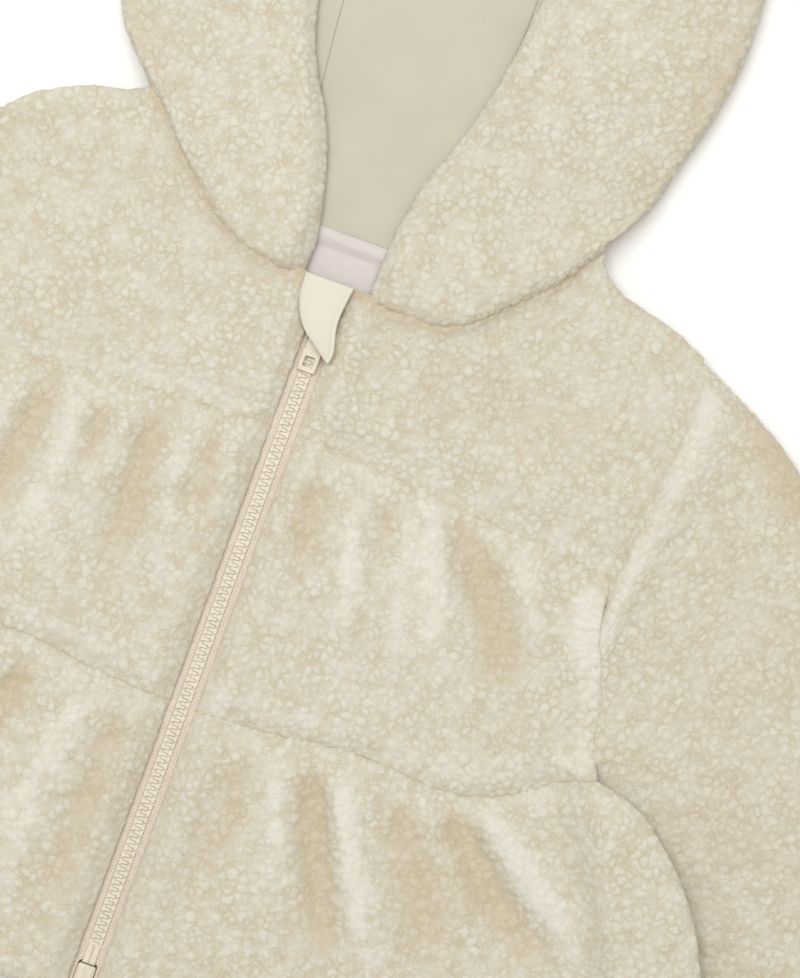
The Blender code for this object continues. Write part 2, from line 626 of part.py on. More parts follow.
def hood_side(side):
    """A wall that runs from the opening's edge over the top, round the fold and back underneath."""
    left = side > 0
    fold_table = FOLD_LEFT if left else FOLD_RIGHT
    opening_table = OPENING_LEFT if left else OPENING_RIGHT
    neck_table = FRONT_NECK_LEFT if left else FRONT_NECK_RIGHT
    along = np.concatenate([[0, 0.018, 0.05], np.linspace(0.11, 0.97, 10), [1.0]])
    fold = curve_through(fold_table, along)
    opening = curve_through(opening_table, along)
    seam = curve_through(BACK_SEAM, along)
    front_share = hood_front_steps()
    front = coons(curve_through(neck_table, front_share),
                  curve_through([opening_table[-1], fold_table[-1]], front_share),
                  opening, fold, front_share, along)
    back_share = np.linspace(0, 1, 21)
    back_neck = curve_through(curve_through(BACK_NECK, np.linspace(0.29, 1, 9)), back_share)
    back = coons(back_neck, curve_through([BACK_SEAM[-1], fold_table[-1]], back_share),
                 seam, fold, back_share, along)
    front = drawn_in(front)
    back = drawn_in(back)

    outside, inside = [], []
    turn = np.radians(np.linspace(90, -90, 5))
    for number in range(len(along)):
        t = along[number]
        row, under_row = front[number], back[number]
        width = np.linalg.norm(row[-1] - row[0])
        back_width = max(np.linalg.norm(under_row[-1] - under_row[0]), 1)
        neck_away = np.linalg.norm(row - front[0], axis=1)
        edge_away = np.linalg.norm(row - row[0], axis=1)
        fold_away = np.linalg.norm(row - row[-1], axis=1)
        closing = soft_step((t - 0.84) / 0.16)
        low = HOOD_LOW - (HOOD_LOW - FLEECE - 0.4) * closing
        height = hood_height(neck_away, edge_away, fold_away, t) - (HOOD_LOW - low)
        rim = 1.0 if 0 < number < len(along) - 1 else 0.0
        wall = (height - low) * (EDGE_HEIGHT + (1 - EDGE_HEIGHT) * rim)
        wall[0] *= EDGE_HEIGHT + 0.1
        top = low + wall
        half = top[-2] / 2
        slit = (low - FLEECE) / 2
        # The last flat line stops short of the fold, however narrow the section is.
        flat = front_share[:-1] * min(1.0, (1 - (half + 1.5) / width) / front_share[-2])

        def front_at(away):
            return read_along(row, front_share, 1 - away / width)

        def back_at(away):
            return read_along(under_row, back_share, 1 - away / back_width)

        def round_fold(radius, off, middle):
            away = off + radius * (1 - np.cos(turn))
            mix = (1 + np.sin(turn))[:, None] / 2
            plan = mix * front_at(away) + (1 - mix) * back_at(away)
            return lifted(plan, middle + radius * np.sin(turn))

        flat_plan = front_at((1 - flat) * width)
        flat_top = lifted(flat_plan, np.interp(flat, front_share, top))
        flat_low = lifted(flat_plan, np.full(len(flat), low))
        reach = np.linspace(half + 2, back_width, 4)
        back_flat = back_at(reach)
        back_low = lifted(back_flat, np.zeros(4))
        back_high = lifted(back_flat, np.full(4, FLEECE))
        outside.append(np.concatenate([flat_top, round_fold(half, 0, half), back_low]))
        slit_fold = round_fold(slit, min(FLEECE, half - 0.8), FLEECE + slit)
        inside.append(np.concatenate([flat_low, slit_fold, back_high]))
    over = np.array(outside) * (side, 1, 1)
    under = np.array(inside) * (side, 1, 1)
    wall_between("hood_side_" + ("left" if left else "right"), under, over, "fleece", side < 0)


def read_along(row, shares, share):
    """Points of a row of points at the given shares of it."""
    return np.stack([np.interp(share, shares, row[:, 0]), np.interp(share, shares, row[:, 1])], -1)


def hood_height(neck_away, edge_away, fold_away, t):
    """Top of the hood's upper layer, with a roll at the opening's edge and one above the neck seam."""
    edge_roll = 2.6 * np.exp(-((edge_away - 7) / 8) ** 2)
    neck_roll = 4.2 * np.exp(-((neck_away - 12) / 13) ** 2) * soft_step(edge_away / 14)
    swell = 1.4 * soft_step(edge_away / 30) * soft_step((fold_away - 4) / 20)
    low_edge = -2.0 * soft_step((neck_away - 2) / -3)
    return HOOD_HEIGHT + edge_roll + neck_roll + swell + low_edge


def hood_centre():
    """The centre panel runs up the back of the hood and turns over at the top."""
    share = np.linspace(-1, 1, 7)
    half = HOOD_HEIGHT / 2 - 0.6
    slit = (HOOD_LOW - FLEECE) / 2
    turn = np.radians(np.linspace(-90, 90, 5))
    seam = curve_through(BACK_SEAM, np.linspace(0, 1, 60))
    opening = curve_through(OPENING_LEFT, np.linspace(0, 1, 120))
    opening = opening[opening[:, 1] > FRONT_PEAK_Y - 12]

    def back_row(y, height):
        reach = np.interp(y, seam[:, 1], seam[:, 0]) - SEAM_GAP / 2
        bow = 1.2 * share ** 2 * (1 - soft_step((y - 56) / 20))
        return np.stack([share * reach, np.full(7, y) + bow, np.full(7, height)], -1)

    def front_row(y, height, bow=0.0):
        reach = np.interp(y, opening[:, 1], opening[:, 0]) - SEAM_GAP / 2
        return np.stack([share * reach, y + bow * share ** 2, np.full(7, height)], -1)

    outside, inside = [], []
    for y in (55.0 + SEAM_GAP / 2, 110, 160, 215, HOOD_TOP_Y - half - 3):
        outside.append(back_row(y, 0.0))
        inside.append(back_row(y, FLEECE))
    for angle in turn:
        y = HOOD_TOP_Y - half + half * np.cos(angle)
        outside.append(front_row(y, half + half * np.sin(angle)))
        y = HOOD_TOP_Y - half - 1 + slit * np.cos(angle)
        inside.append(front_row(y, FLEECE + slit + slit * np.sin(angle)))
    top = HOOD_HEIGHT - 1.2
    for y, bow, rise in ((HOOD_TOP_Y - half - 6, 0, 0.6), (262, 0, 1.6), (FRONT_PEAK_Y + 9, -1, 2.6),
                         (FRONT_PEAK_Y + 3.5, -2, 2.4), (FRONT_PEAK_Y, -3, -1.4)):
        outside.append(front_row(y, top + rise, bow))
        inside.append(front_row(y, HOOD_LOW, bow))
    over = np.array(outside)
    under = np.array(inside)
    wall_between("hood_centre", under, over, "fleece", True)


def hood_lining():
    """Three smooth panels on the hood's back, as far as they show in the opening and a little on."""
    low = FLEECE + LAYER_GAP
    steps = np.linspace(0, 1, 9)
    seam = curve_through(BACK_SEAM, np.linspace(0, LINING_SEAM_SHARE, 9))
    middle = np.concatenate([seam, (seam * (-1, 1))[::-1]])
    flat_piece("hood_lining_centre", inset_outline(middle), low, low + LINING, "cotton")
    for side, table in ((1, OPENING_LEFT), (-1, OPENING_RIGHT)):
        edge = curve_through(table, np.linspace(*LINING_SIDE_SHARES, 9))
        reach = np.maximum(edge[:, 0] + LINING_REACH, seam[:, 0] + 6)
        outer = np.stack([reach, seam[:, 1] + 1.5 * (1 - steps)], -1)
        outline = np.concatenate([seam, outer[::-1]]) * (side, 1)
        name = "left" if side > 0 else "right"
        flat_piece(f"hood_lining_side_{name}", inset_outline(outline), low, low + LINING, "cotton")


# ---------------------------------------------------------------- label, guard and zip

def neck_label():
    low = FLEECE + LAYER_GAP
    flat_piece("neck_label", LABEL_OUTLINE, low, low + LABEL_THICK, "label")


def chin_guard():
    """A leaf of cotton from the neck seam down over the slider; its tip stands clear of the tab."""
    along = np.linspace(0, 1, 12)
    across = np.linspace(0, 1, 7)
    start = curve_through(GUARD_LEFT_EDGE, 1 - along)
    end = curve_through(GUARD_RIGHT_EDGE, 1 - along)
    plan = coons(curve_through([GUARD_LEFT_EDGE[-1], GUARD_RIGHT_EDGE[-1]], across),
                 curve_through([GUARD_LEFT_EDGE[0], GUARD_RIGHT_EDGE[0]], across), start, end, across, along)
    x, y = plan[..., 0], plan[..., 1]
    arch = GUARD_ARCH * np.exp(-((x - ZIP_X) / 7) ** 2) * np.exp(-((y - HINGE_Y) / 9) ** 2)
    under = GUARD_LOW + arch + GUARD_TIP_LIFT * soft_step((HINGE_Y + 1 - y) / 12)
    wall_between("chin_guard", lifted(plan, under), lifted(plan, under + GUARD_THICK), "guard", False)


def zip_tapes():
    middle = CHAIN_FOOT + CHAIN_THICK / 2
    for side, name in ((1, "left"), (-1, "right")):
        inner = ZIP_X + side * (CHAIN_HALF + LAYER_GAP)
        slider = ZIP_X + side * SLIDER_CLEAR_X
        outer = ZIP_X + side * TAPE_HALF
        box = ZIP_X + side * (BOX_SIZE[0] / 2 + LAYER_GAP)
        pin = CHAIN_LOW_Y + PIN_CLEAR
        shoulder = HINGE_Y - PLATE_BELOW
        outline = [(inner, pin), (inner, shoulder - 1), (slider, shoulder), (slider, TAPE_TOP_Y),
                   (outer, TAPE_TOP_Y), (outer, TAPE_LOW_Y), (box, TAPE_LOW_Y), (box, pin)]
        flat_piece(f"zip_tape_{name}", outline, middle - TAPE_THICK / 2, middle + TAPE_THICK / 2, "tape")


def block(name, low, high, bevel=0.0):
    """A plastic box from its lowest and highest corners, with its edges rounded."""
    low, high = np.array(low, float), np.array(high, float)
    corners = np.array([(x, y, z) for z in (0, 1) for y in (0, 1) for x in (0, 1)])
    faces = [(0, 2, 3, 1), (4, 5, 7, 6), (0, 1, 5, 4), (2, 6, 7, 3), (0, 4, 6, 2), (1, 3, 7, 5)]
    made = add_object(name, low + corners * (high - low), faces, "plastic")
    if bevel:
        soft = made.modifiers.new("round", "BEVEL")
        soft.width = bevel * MM
        soft.segments = 2
    return made


def zip_chain():
    """Both rows of closed teeth as one strip, up into the slider."""
    low = (ZIP_X - CHAIN_HALF, CHAIN_LOW_Y, CHAIN_FOOT)
    high = (ZIP_X + CHAIN_HALF, CHAIN_TOP_Y, CHAIN_FOOT + CHAIN_THICK)
    block("zip_chain", low, high, bevel=0.6)


def zip_box():
    width, length, height = BOX_SIZE
    top = CHAIN_LOW_Y - LAYER_GAP
    low = (ZIP_X - width / 2, top - length, FLEECE + LAYER_GAP)
    high = (ZIP_X + width / 2, top, FLEECE + LAYER_GAP + height)
    block("zip_bottom_box", low, high, bevel=0.8)


def zip_slider():
    """Two plates joined by a post above the chain's end, and an arch that holds the tab."""
    plate_low = CHAIN_FOOT + CHAIN_THICK + LAYER_GAP
    left, right = ZIP_X - PLATE_HALF, ZIP_X + PLATE_HALF
    start, end = HINGE_Y - PLATE_BELOW, HINGE_Y + PLATE_ABOVE
    body = block("zip_slider", (left, start, plate_low), (right, end, plate_low + PLATE_THICK))
    parts = [
        block("slider_under_plate", (left, start, FLEECE + LAYER_GAP), (right, end, CHAIN_FOOT - LAYER_GAP)),
        block("slider_post", (ZIP_X - POST_HALF, CHAIN_TOP_Y + 0.5, FLEECE + 0.8),
              (ZIP_X + POST_HALF, end - 1, plate_low + PLATE_THICK / 2)),
        arch_block("slider_arch", plate_low + PLATE_THICK / 2),
    ]
    for part in parts:
        part.hide_render = True
        part.display_type = "WIRE"
        join = body.modifiers.new(part.name, "BOOLEAN")
        join.operation = "UNION"
        join.object = part


def arch_block(name, foot):
    """The arch over the tab's bar: its side view is an arch, extruded across."""
    angles = np.radians(np.linspace(0, 180, 9))
    arches = [np.stack([reach * np.cos(angles), HINGE_Z - 0.5 + rise * np.sin(angles)], -1)
              for reach, rise in (ARCH_OUTER, ARCH_INNER)]
    out, into = ARCH_OUTER[0], ARCH_INNER[0]
    profile = np.concatenate([[(out, foot)], arches[0], [(-out, foot), (-into, foot)], arches[1][::-1],
                              [(into, foot)]])
    count = len(profile)
    left = np.stack([np.full(count, ZIP_X - ARCH_HALF), HINGE_Y + profile[:, 0], profile[:, 1]], -1)
    right = left + (2 * ARCH_HALF, 0, 0)
    loop = np.arange(count)
    after = np.roll(loop, -1)
    sides = [list(side) for side in np.stack([loop, after, after + count, loop + count], -1)]
    faces = [list(loop[::-1]), list(loop + count)] + sides
    return add_object(name, np.concatenate([left, right]), [face[::-1] for face in faces], "plastic")


def zip_pull_tab():
    """A moulded plate with a slot round the slider's arch and a square window near its end."""
    points, faces = plate_with_windows(TAB_X_LINES, TAB_Y_LINES, TAB_OPEN_CELLS, -TAB_THICK / 2, TAB_THICK / 2)
    tab = add_object("zip_pull_tab", points, faces, "plastic")
    tab.location = (ZIP_X * MM, HINGE_Y * MM, HINGE_Z * MM)
    tab.rotation_euler = (np.radians(TAB_DROOP_DEG), 0, 0)
    soft = tab.modifiers.new("round", "BEVEL")
    soft.width = 0.25 * MM
    soft.segments = 1
    soft.limit_method = "ANGLE"


def plate_with_windows(x_lines, y_lines, holes, low, high):
    """A plate made of cells between lines, open where (column, row) is in holes."""
    columns, rows = len(x_lines), len(y_lines)
    grid = np.array([(x, y) for y in y_lines for x in x_lines])
    points = np.concatenate([lifted(grid, np.full(len(grid), high)), lifted(grid, np.full(len(grid), low))])
    count = len(grid)
    solid = {(c, r) for r in range(rows - 1) for c in range(columns - 1)} - holes
    faces = []
    for column, row in sorted(solid):
        first = row * columns + column
        corners = [first, first + 1, first + columns + 1, first + columns]
        faces.append(corners)
        faces.append([corner + count for corner in reversed(corners)])
        beside = [(column, row - 1), (column + 1, row), (column, row + 1), (column - 1, row)]
        for number, cell in enumerate(beside):
            if cell not in solid:
                start, end = corners[number], corners[(number + 1) % 4]
                faces.append([end, start, start + count, end + count])
    return points, faces


def main():
    for item in list(bpy.data.objects):
        bpy.data.objects.remove(item)
    back_panels()
    for side in (1, -1):
        front_panels(side)
        sleeve(side)
        hood_side(side)
    hood_centre()
    hood_lining()
    neck_label()
    chin_guard()
    zip_tapes()
    zip_chain()
    zip_box()
    zip_slider()
    zip_pull_tab()


main()
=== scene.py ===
# A child's hooded sherpa jacket, laid flat with its front up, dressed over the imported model.
# Surfaces are worked out in millimetres on grids of two parameters, and putMesh turns them into metres.
# +X is the wearer's left, +Y runs from the hem to the hood, and the origin lies below the top of the zip.
import json

import bpy
import numpy as np
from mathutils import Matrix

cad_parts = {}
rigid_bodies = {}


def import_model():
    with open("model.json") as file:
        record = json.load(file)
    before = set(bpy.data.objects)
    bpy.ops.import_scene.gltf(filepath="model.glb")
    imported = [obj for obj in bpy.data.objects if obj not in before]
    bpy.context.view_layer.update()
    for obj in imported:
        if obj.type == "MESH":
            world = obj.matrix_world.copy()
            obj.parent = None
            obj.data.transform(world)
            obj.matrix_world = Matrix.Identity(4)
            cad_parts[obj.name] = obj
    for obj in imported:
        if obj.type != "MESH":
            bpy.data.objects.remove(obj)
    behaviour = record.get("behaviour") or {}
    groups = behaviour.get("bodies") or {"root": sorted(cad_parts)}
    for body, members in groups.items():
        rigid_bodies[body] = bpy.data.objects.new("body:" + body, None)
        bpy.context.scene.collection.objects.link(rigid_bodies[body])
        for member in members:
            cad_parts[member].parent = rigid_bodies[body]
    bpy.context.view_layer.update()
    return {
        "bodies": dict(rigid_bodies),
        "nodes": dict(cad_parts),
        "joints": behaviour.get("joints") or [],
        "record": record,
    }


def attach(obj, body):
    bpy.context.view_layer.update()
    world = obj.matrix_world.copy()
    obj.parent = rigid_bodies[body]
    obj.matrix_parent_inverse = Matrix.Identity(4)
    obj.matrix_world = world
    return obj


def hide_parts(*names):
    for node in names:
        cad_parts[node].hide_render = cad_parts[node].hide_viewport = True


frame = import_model()
print("jacket: the packed model is loaded")

toMetres = 0.001

cloth = {
    "wall": 5.0,           # fleece with its pile
    "layerGap": 0.3,
    "frontSpacing": 0.9,   # between the lines of the grids that show
    "backSpacing": 1.9,    # and of those underneath
    "hollow": 0.45,        # how far a wall's underside follows its folds
    "edgeLines": (0, 0.3, 0.65, 1.05, 1.5, 2.05, 2.7),  # finer lines by an edge, counted from it
}

zipper = {
    "middleX": 0.6,
    "chainHalf": 2.8,
    "chainLow": 6.6,
    "chainThick": 2.6,
    "teethTopY": 8.0,
    "teethLowY": -260.0,
    "lowY": -268.0,
    "tapeHalf": 14.0,
    "tapeThick": 0.6,
    "tapeTopY": 20.5,
    "tapeLowY": -279.0,
    "frontEdge": 6.0,      # from the middle to the fronts' edges
    "toothPitch": 3.0,
}

# Points where several outlines meet, on the wearer's left
neckSide = (100, 84)
shoulderTip = (154, 56.5)
yokeSide = (150, -42)
underarm = (153, -68)
flareTop = (172, -123)
hemSide = (255, -228)
hoodPeak = (61, 284)
openingTop = (36.3, 286)

# The cut: outlines on the wearer's left, as points in plan
cut = {
    "shoulderLeft": [neckSide, (104, 76.5), (114, 69.5), (128, 66), (144, 61), shoulderTip],
    "shoulderRight": [neckSide, (110, 78.5), (122, 76), (133, 71.5), (145, 64.5), shoulderTip],
    "yokeArmhole": [shoulderTip, (155, 31), (153, 7), (151, -21), yokeSide],
    "tierArmhole": [yokeSide, (150.5, -56), underarm],
    "tierSide": [underarm, (160, -83), (165, -104), (168.5, -115), flareTop],
    "yokeSeam": [(0, -31), (40, -33), (95, -38), yokeSide],
    "tierSeam": [(0, -153), (40, -151), (83, -147), (118, -149), (144, -139), (160, -128), flareTop],
    "flareSide": [flareTop, (192, -128), (208, -139), (222, -153), (236, -174), (246, -199), hemSide],
    "hem": [(0, -282), (45, -285), (95, -286), (150, -280), (205, -262), hemSide],
    "belowHem": [(0, -300), (255, -300)],
    "frontNeckLeft": [(15, 33.2), (42, 32), (55, 36), (70, 49), (87, 66), (95, 77), neckSide],
    "frontNeckRight": [(14, 33.2), (30, 33.8), (44, 37), (55, 43), (64, 50.5), (81, 66), (92, 78), neckSide],
    "backNeck": [(0, 55), (30, 56.2), (55, 60), (80, 70), neckSide],
}


# Lines and patches

def smoothLine(points):
    # Natural cubic spline: between two points it is their straight mix plus a cubic that makes the slope
    # and the bend run on. The function that comes back reads it at shares of its length.
    points = np.array(points, float)
    reach = np.linalg.norm(np.diff(points, axis=0), axis=1)
    place = np.concatenate([[0.0], np.cumsum(reach)]) / reach.sum()
    gap = np.diff(place)
    slope = np.diff(points, axis=0) / gap[:, None]
    count = len(points)
    system = np.eye(count)
    known = np.zeros_like(points)
    for row in range(1, count - 1):
        system[row, row - 1:row + 2] = gap[row - 1], 2 * (gap[row - 1] + gap[row]), gap[row]
        known[row] = 6 * (slope[row] - slope[row - 1])
    bend = np.linalg.solve(system, known)

    def read(share):
        share = np.asarray(share, float)
        flat = share.ravel()
        index = np.clip(np.searchsorted(place, flat, side="right") - 1, 0, count - 2)
        width = gap[index][:, None]
        before = (place[index + 1] - flat)[:, None] / width
        after = 1 - before
        straight = before * points[index] + after * points[index + 1]
        curve = (before ** 3 - before) * bend[index] + (after ** 3 - after) * bend[index + 1]
        return (straight + curve * width ** 2 / 6).reshape(share.shape + (points.shape[1],))
    return read


def straightLine(start, end):
    start, end = np.array(start, float), np.array(end, float)
    return lambda share: start + np.asarray(share, float)[..., None] * (end - start)


def joinedLines(lines, breaks):
    # One line after another: line k is read between breaks k and k + 1.
    def read(share):
        share = np.asarray(share, float)
        result = np.zeros(share.shape + (2,))
        for index, line in enumerate(lines):
            start, end = breaks[index], breaks[index + 1]
            inside = (share >= start) & (share <= end)
            result[inside] = line((share[inside] - start) / (end - start))
        return result
    return read


def linePoints(table, count):
    return smoothLine(table)(np.linspace(0, 1, count))


def onSide(table, side):
    return np.array(table, float) * (side, 1)


def joinEnds(first, second, share):
    # The straight line between two lines' points at one share of their lengths.
    return straightLine(first(np.array([share]))[0], second(np.array([share]))[0])


def patch(low, high, start, end, s, t):
    # Four edge lines blended: low and high by t, plus start and end by s, less the corners counted twice.
    across, along = s[..., None], t[..., None]
    zero, one = np.zeros(1), np.ones(1)
    ruledUp = (1 - along) * low(s) + along * high(s)
    ruledOver = (1 - across) * start(t) + across * end(t)
    corners = ((1 - across) * (1 - along) * low(zero) + across * (1 - along) * low(one)
               + (1 - across) * along * high(zero) + across * along * high(one))
    return ruledUp + ruledOver - corners


def raised(plan, height):
    # Points in plan, with a height for each or one for all.
    return np.concatenate([plan, np.broadcast_to(height, plan.shape[:-1])[..., None]], -1)


def unit(vectors):
    return vectors / np.maximum(np.linalg.norm(vectors, axis=-1, keepdims=True), 1e-9)


def apart(first, second):
    return np.linalg.norm(first - second, axis=-1)


def softStep(value):
    value = np.clip(value, 0, 1)
    return value * value * (3 - 2 * value)


def bell(value, width, middle=0.0):
    # A smooth hump: 1 at its middle, and little is left two widths away.
    return np.exp(-((value - middle) / width) ** 2)


def hump(value, width, middle, height):
    return height * bell(value, width, middle)


def rounded(distance, radius, low):
    # A quarter of an ellipse: the low share at the edge, and 1 from the radius on.
    part = 1 - np.clip(distance / radius, 0, 1)
    return low + (1 - low) * np.sqrt(1 - part ** 2)


def gridShares(length, spacing):
    # Shares of a length in even steps, with finer ones at both ends. There are 4 k + 1 of them.
    edge = np.array(cloth["edgeLines"])
    inner = length - 2 * edge[-1]
    count = 4 * max(0, round((inner / spacing - 4) / 4)) + 3
    middle = np.linspace(edge[-1], length - edge[-1], count + 2)[1:-1]
    return np.concatenate([edge, middle, (length - edge)[::-1]]) / length


def edgeDistances(plan):
    # Length along the grid's lines from each point to the start, end, low and high edges.
    over = np.linalg.norm(np.diff(plan, axis=1), axis=-1)
    up = np.linalg.norm(np.diff(plan, axis=0), axis=-1)
    fromStart = np.pad(np.cumsum(over, axis=1), ((0, 0), (1, 0)))
    fromLow = np.pad(np.cumsum(up, axis=0), ((1, 0), (0, 0)))
    return fromStart, fromStart[:, -1:] - fromStart, fromLow, fromLow[-1:] - fromLow


# Noise from hashed lattice cells, so that every run gives the same cloth

def cellValue(cells, salt):
    # A whole-number hash of a cell, from 0 to 1. Its multipliers, shifts and mask are the hash's own.
    mixed = (cells[..., 0] * 374761393 + cells[..., 1] * 668265263 + cells[..., 2] * 974634777
             + salt * 1103515245)
    mixed &= 0xFFFFFFFF
    mixed = ((mixed ^ (mixed >> 13)) * 1274126177) & 0xFFFFFFFF
    return (mixed ^ (mixed >> 16)) / 4294967295.0


def smoothNoise(points, size, salt):
    # Values at the corners of cells of this size, blended between them.
    scaled = points / size
    cells = np.floor(scaled).astype(np.int64)
    part = softStep(scaled - cells)
    total = np.zeros(points.shape[:-1])
    for corner in np.ndindex(2, 2, 2):
        weight = np.prod(np.where(corner, part, 1 - part), axis=-1)
        total += weight * cellValue(cells + corner, salt)
    return total


# Meshes

def putMesh(name, points, faces, material, attributes=None, smooth=True):
    mesh = bpy.data.meshes.new(name)
    points = np.ascontiguousarray(points, float).reshape(-1, 3)
    mesh.vertices.add(len(points))
    mesh.vertices.foreach_set("co", (points * toMetres).astype(np.float32).ravel())
    totals = np.concatenate([np.full(len(group), group.shape[1]) for group in faces])
    corners = np.concatenate([group.ravel() for group in faces])
    mesh.loops.add(len(corners))
    mesh.loops.foreach_set("vertex_index", corners.astype(np.int32))
    mesh.polygons.add(len(totals))
    mesh.polygons.foreach_set("loop_start", (np.cumsum(totals) - totals).astype(np.int32))
    mesh.polygons.foreach_set("loop_total", totals.astype(np.int32))
    mesh.polygons.foreach_set("use_smooth", np.full(len(totals), smooth))
    for key, values in (attributes or {}).items():
        values = np.asarray(values, np.float32)
        vector = values.ndim == 2
        layer = mesh.attributes.new(key, "FLOAT_VECTOR" if vector else "FLOAT", "POINT")
        layer.data.foreach_set("vector" if vector else "value", values.ravel())
    mesh.update(calc_edges=True)
    mesh.validate()
    piece = bpy.data.objects.new(name, mesh)
    bpy.context.scene.collection.objects.link(piece)
    mesh.materials.append(material)
    return piece


def nodeOf(name):
    # The model's node for a piece: frontYokeLeft stands for front_yoke_left.
    return "".join("_" + letter.lower() if letter.isupper() else letter for letter in name)


def dress(piece, node, body="garment"):
    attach(piece, body)
    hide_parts(node)


def gridNumbers(rows, columns, first=0):
    return first + np.arange(rows * columns).reshape(rows, columns)


def gridFaces(rows, columns, first=0):
    number = gridNumbers(rows, columns, first)
    return np.stack([number[:-1, :-1], number[:-1, 1:], number[1:, 1:], number[1:, :-1]], -1).reshape(-1, 4)


def wrappedFaces(rows, columns, first=0):
    # Faces of a grid that closes on itself both ways.
    number = gridNumbers(rows, columns, first)
    below, beside = np.roll(number, -1, axis=0), np.roll(number, -1, axis=1)
    return np.stack([number, beside, np.roll(below, -1, axis=1), below], -1).reshape(-1, 4)


def rimLoop(rows, columns, first=0):
    number = gridNumbers(rows, columns, first)
    return np.concatenate([number[0, :-1], number[:-1, -1], number[-1, :0:-1], number[:0:-1, 0]])


def gridNormals(points):
    return unit(np.cross(np.gradient(points, axis=1), np.gradient(points, axis=0)))


def shellFaces(rows, columns, lowRows, lowColumns):
    # A fine grid above and one with every fourth line below, sewn together round the rim.
    count = rows * columns
    fine = rimLoop(rows, columns)
    coarse = rimLoop(lowRows, lowColumns, count)
    f = [np.roll(fine, -k)[::4] for k in range(5)]
    c, d = coarse, np.roll(coarse, -1)
    rim = np.concatenate([np.stack(three, -1) for three in
                          ((f[0], c, f[1]), (f[1], c, f[2]), (f[2], c, d), (f[2], d, f[3]), (f[3], d, f[4]))])
    return [gridFaces(rows, columns), gridFaces(lowRows, lowColumns, count)[:, ::-1], rim]


def turnedRound(faces):
    return [group[:, ::-1] for group in faces]


def shell(name, over, under, material, turned, rest, fold):
    faces = shellFaces(*over.shape[:2], *under.shape[:2])
    if turned:
        faces = turnedRound(faces)
    points, rests = (np.concatenate([upper.reshape(-1, 3), under.reshape(-1, 3)]) for upper in (over, rest))
    # The fold attribute holds painted light and shade, and none underneath
    folds = np.concatenate([np.ravel(fold), np.zeros(under.shape[0] * under.shape[1])])
    return putMesh(name, points, faces, material, {"rest": rests, "fold": folds})


# Nodes

def setInput(tree, socket, value):
    if hasattr(value, "is_output"):
        tree.links.new(value, socket)
    else:
        socket.default_value = value


def addNode(tree, kind, inputs=None, **settings):
    node = tree.nodes.new(kind)
    for key, value in settings.items():
        setattr(node, key, value)
    for key, value in (inputs or {}).items():
        setInput(tree, node.inputs[key], value)
    return node


def vectorMath(tree, operation, *values):
    return addNode(tree, "ShaderNodeVectorMath", dict(enumerate(values)), operation=operation).outputs["Vector"]


def valueMath(tree, operation, *values):
    return addNode(tree, "ShaderNodeMath", dict(enumerate(values)), operation=operation).outputs["Value"]


def mixColours(tree, share, first, second):
    node = addNode(tree, "ShaderNodeMix", data_type="RGBA")
    setInput(tree, node.inputs[0], share)
    for index, colour in ((6, first), (7, second)):  # its two colour sockets
        setInput(tree, node.inputs[index], colour if hasattr(colour, "is_output") else (*colour, 1))
    return node.outputs[2]


def mapRange(tree, value, low, high, newLow=0.0, newHigh=1.0):
    ends = {"Value": value, "From Min": low, "From Max": high, "To Min": newLow, "To Max": newHigh}
    return addNode(tree, "ShaderNodeMapRange", ends, interpolation_type="SMOOTHSTEP").outputs["Result"]


def noise(tree, place, scale, detail=2.0, output="Fac"):
    inputs = {"Vector": place, "Scale": scale, "Detail": detail}
    return addNode(tree, "ShaderNodeTexNoise", inputs).outputs[output]


# The pile

pile = {
    "curlSize": 3.9,
    "curlDepth": 1.05,
    "domeShare": 0.5,    # of a curl's height that is a round dome, and the rest rises steeply to a flat top
    "domeFall": 1.1,
    "bendSize": 3.0,     # of the noise that bends the creases
    "bendDetail": 3.0,
    "bendReach": 4.2,
    "flatTop": 0.7,      # where a curl stops rising, as a share of its cell
    "unlike": 0.4,       # how far curls differ in height
    "sink": 0.62,        # share of the depth that lies below the smooth form
    "seamSwell": 0.8,    # share of that sinking which a seam takes away
    "fineSize": 1.9,     # of the lumps on the curls
    "fineDepth": 0.25,
    "seamReach": 0.36,   # how far the pile of a panel reaches over its seam
    "seamWidth": 0.9,
    "rollReach": 0.9,    # how far a rolled edge bulges,
    "rollIn": 1.1,       # this far inside its rim
    "rollWidth": 0.8,
    "straySize": 4.5,    # of the noise that makes both uneven
}


def curlNodes(tree, place):
    # Curls are Voronoi cells, bent by slow noise so that no crease is straight. The first value is 0 in a
    # crease and grows inside its curl, the second grows from its middle, and the third is the curl's own.
    bend = noise(tree, place, 1 / pile["bendSize"], pile["bendDetail"], "Color")
    centred = vectorMath(tree, "SUBTRACT", bend, (0.5, 0.5, 0.5))
    reach = vectorMath(tree, "MULTIPLY", centred, (pile["bendReach"],) * 3)
    moved = vectorMath(tree, "ADD", reach, place)
    nearest, second = (addNode(tree, "ShaderNodeTexVoronoi", {"Vector": moved, "Scale": 1 / pile["curlSize"]},
                               feature=feature) for feature in ("F1", "F2"))
    inside = valueMath(tree, "SUBTRACT", second.outputs["Distance"], nearest.outputs["Distance"])
    own = valueMath(tree, "MULTIPLY", nearest.outputs["Color"], 1.0)
    return inside, nearest.outputs["Distance"], own


curlValues = ("inside", "away", "own")


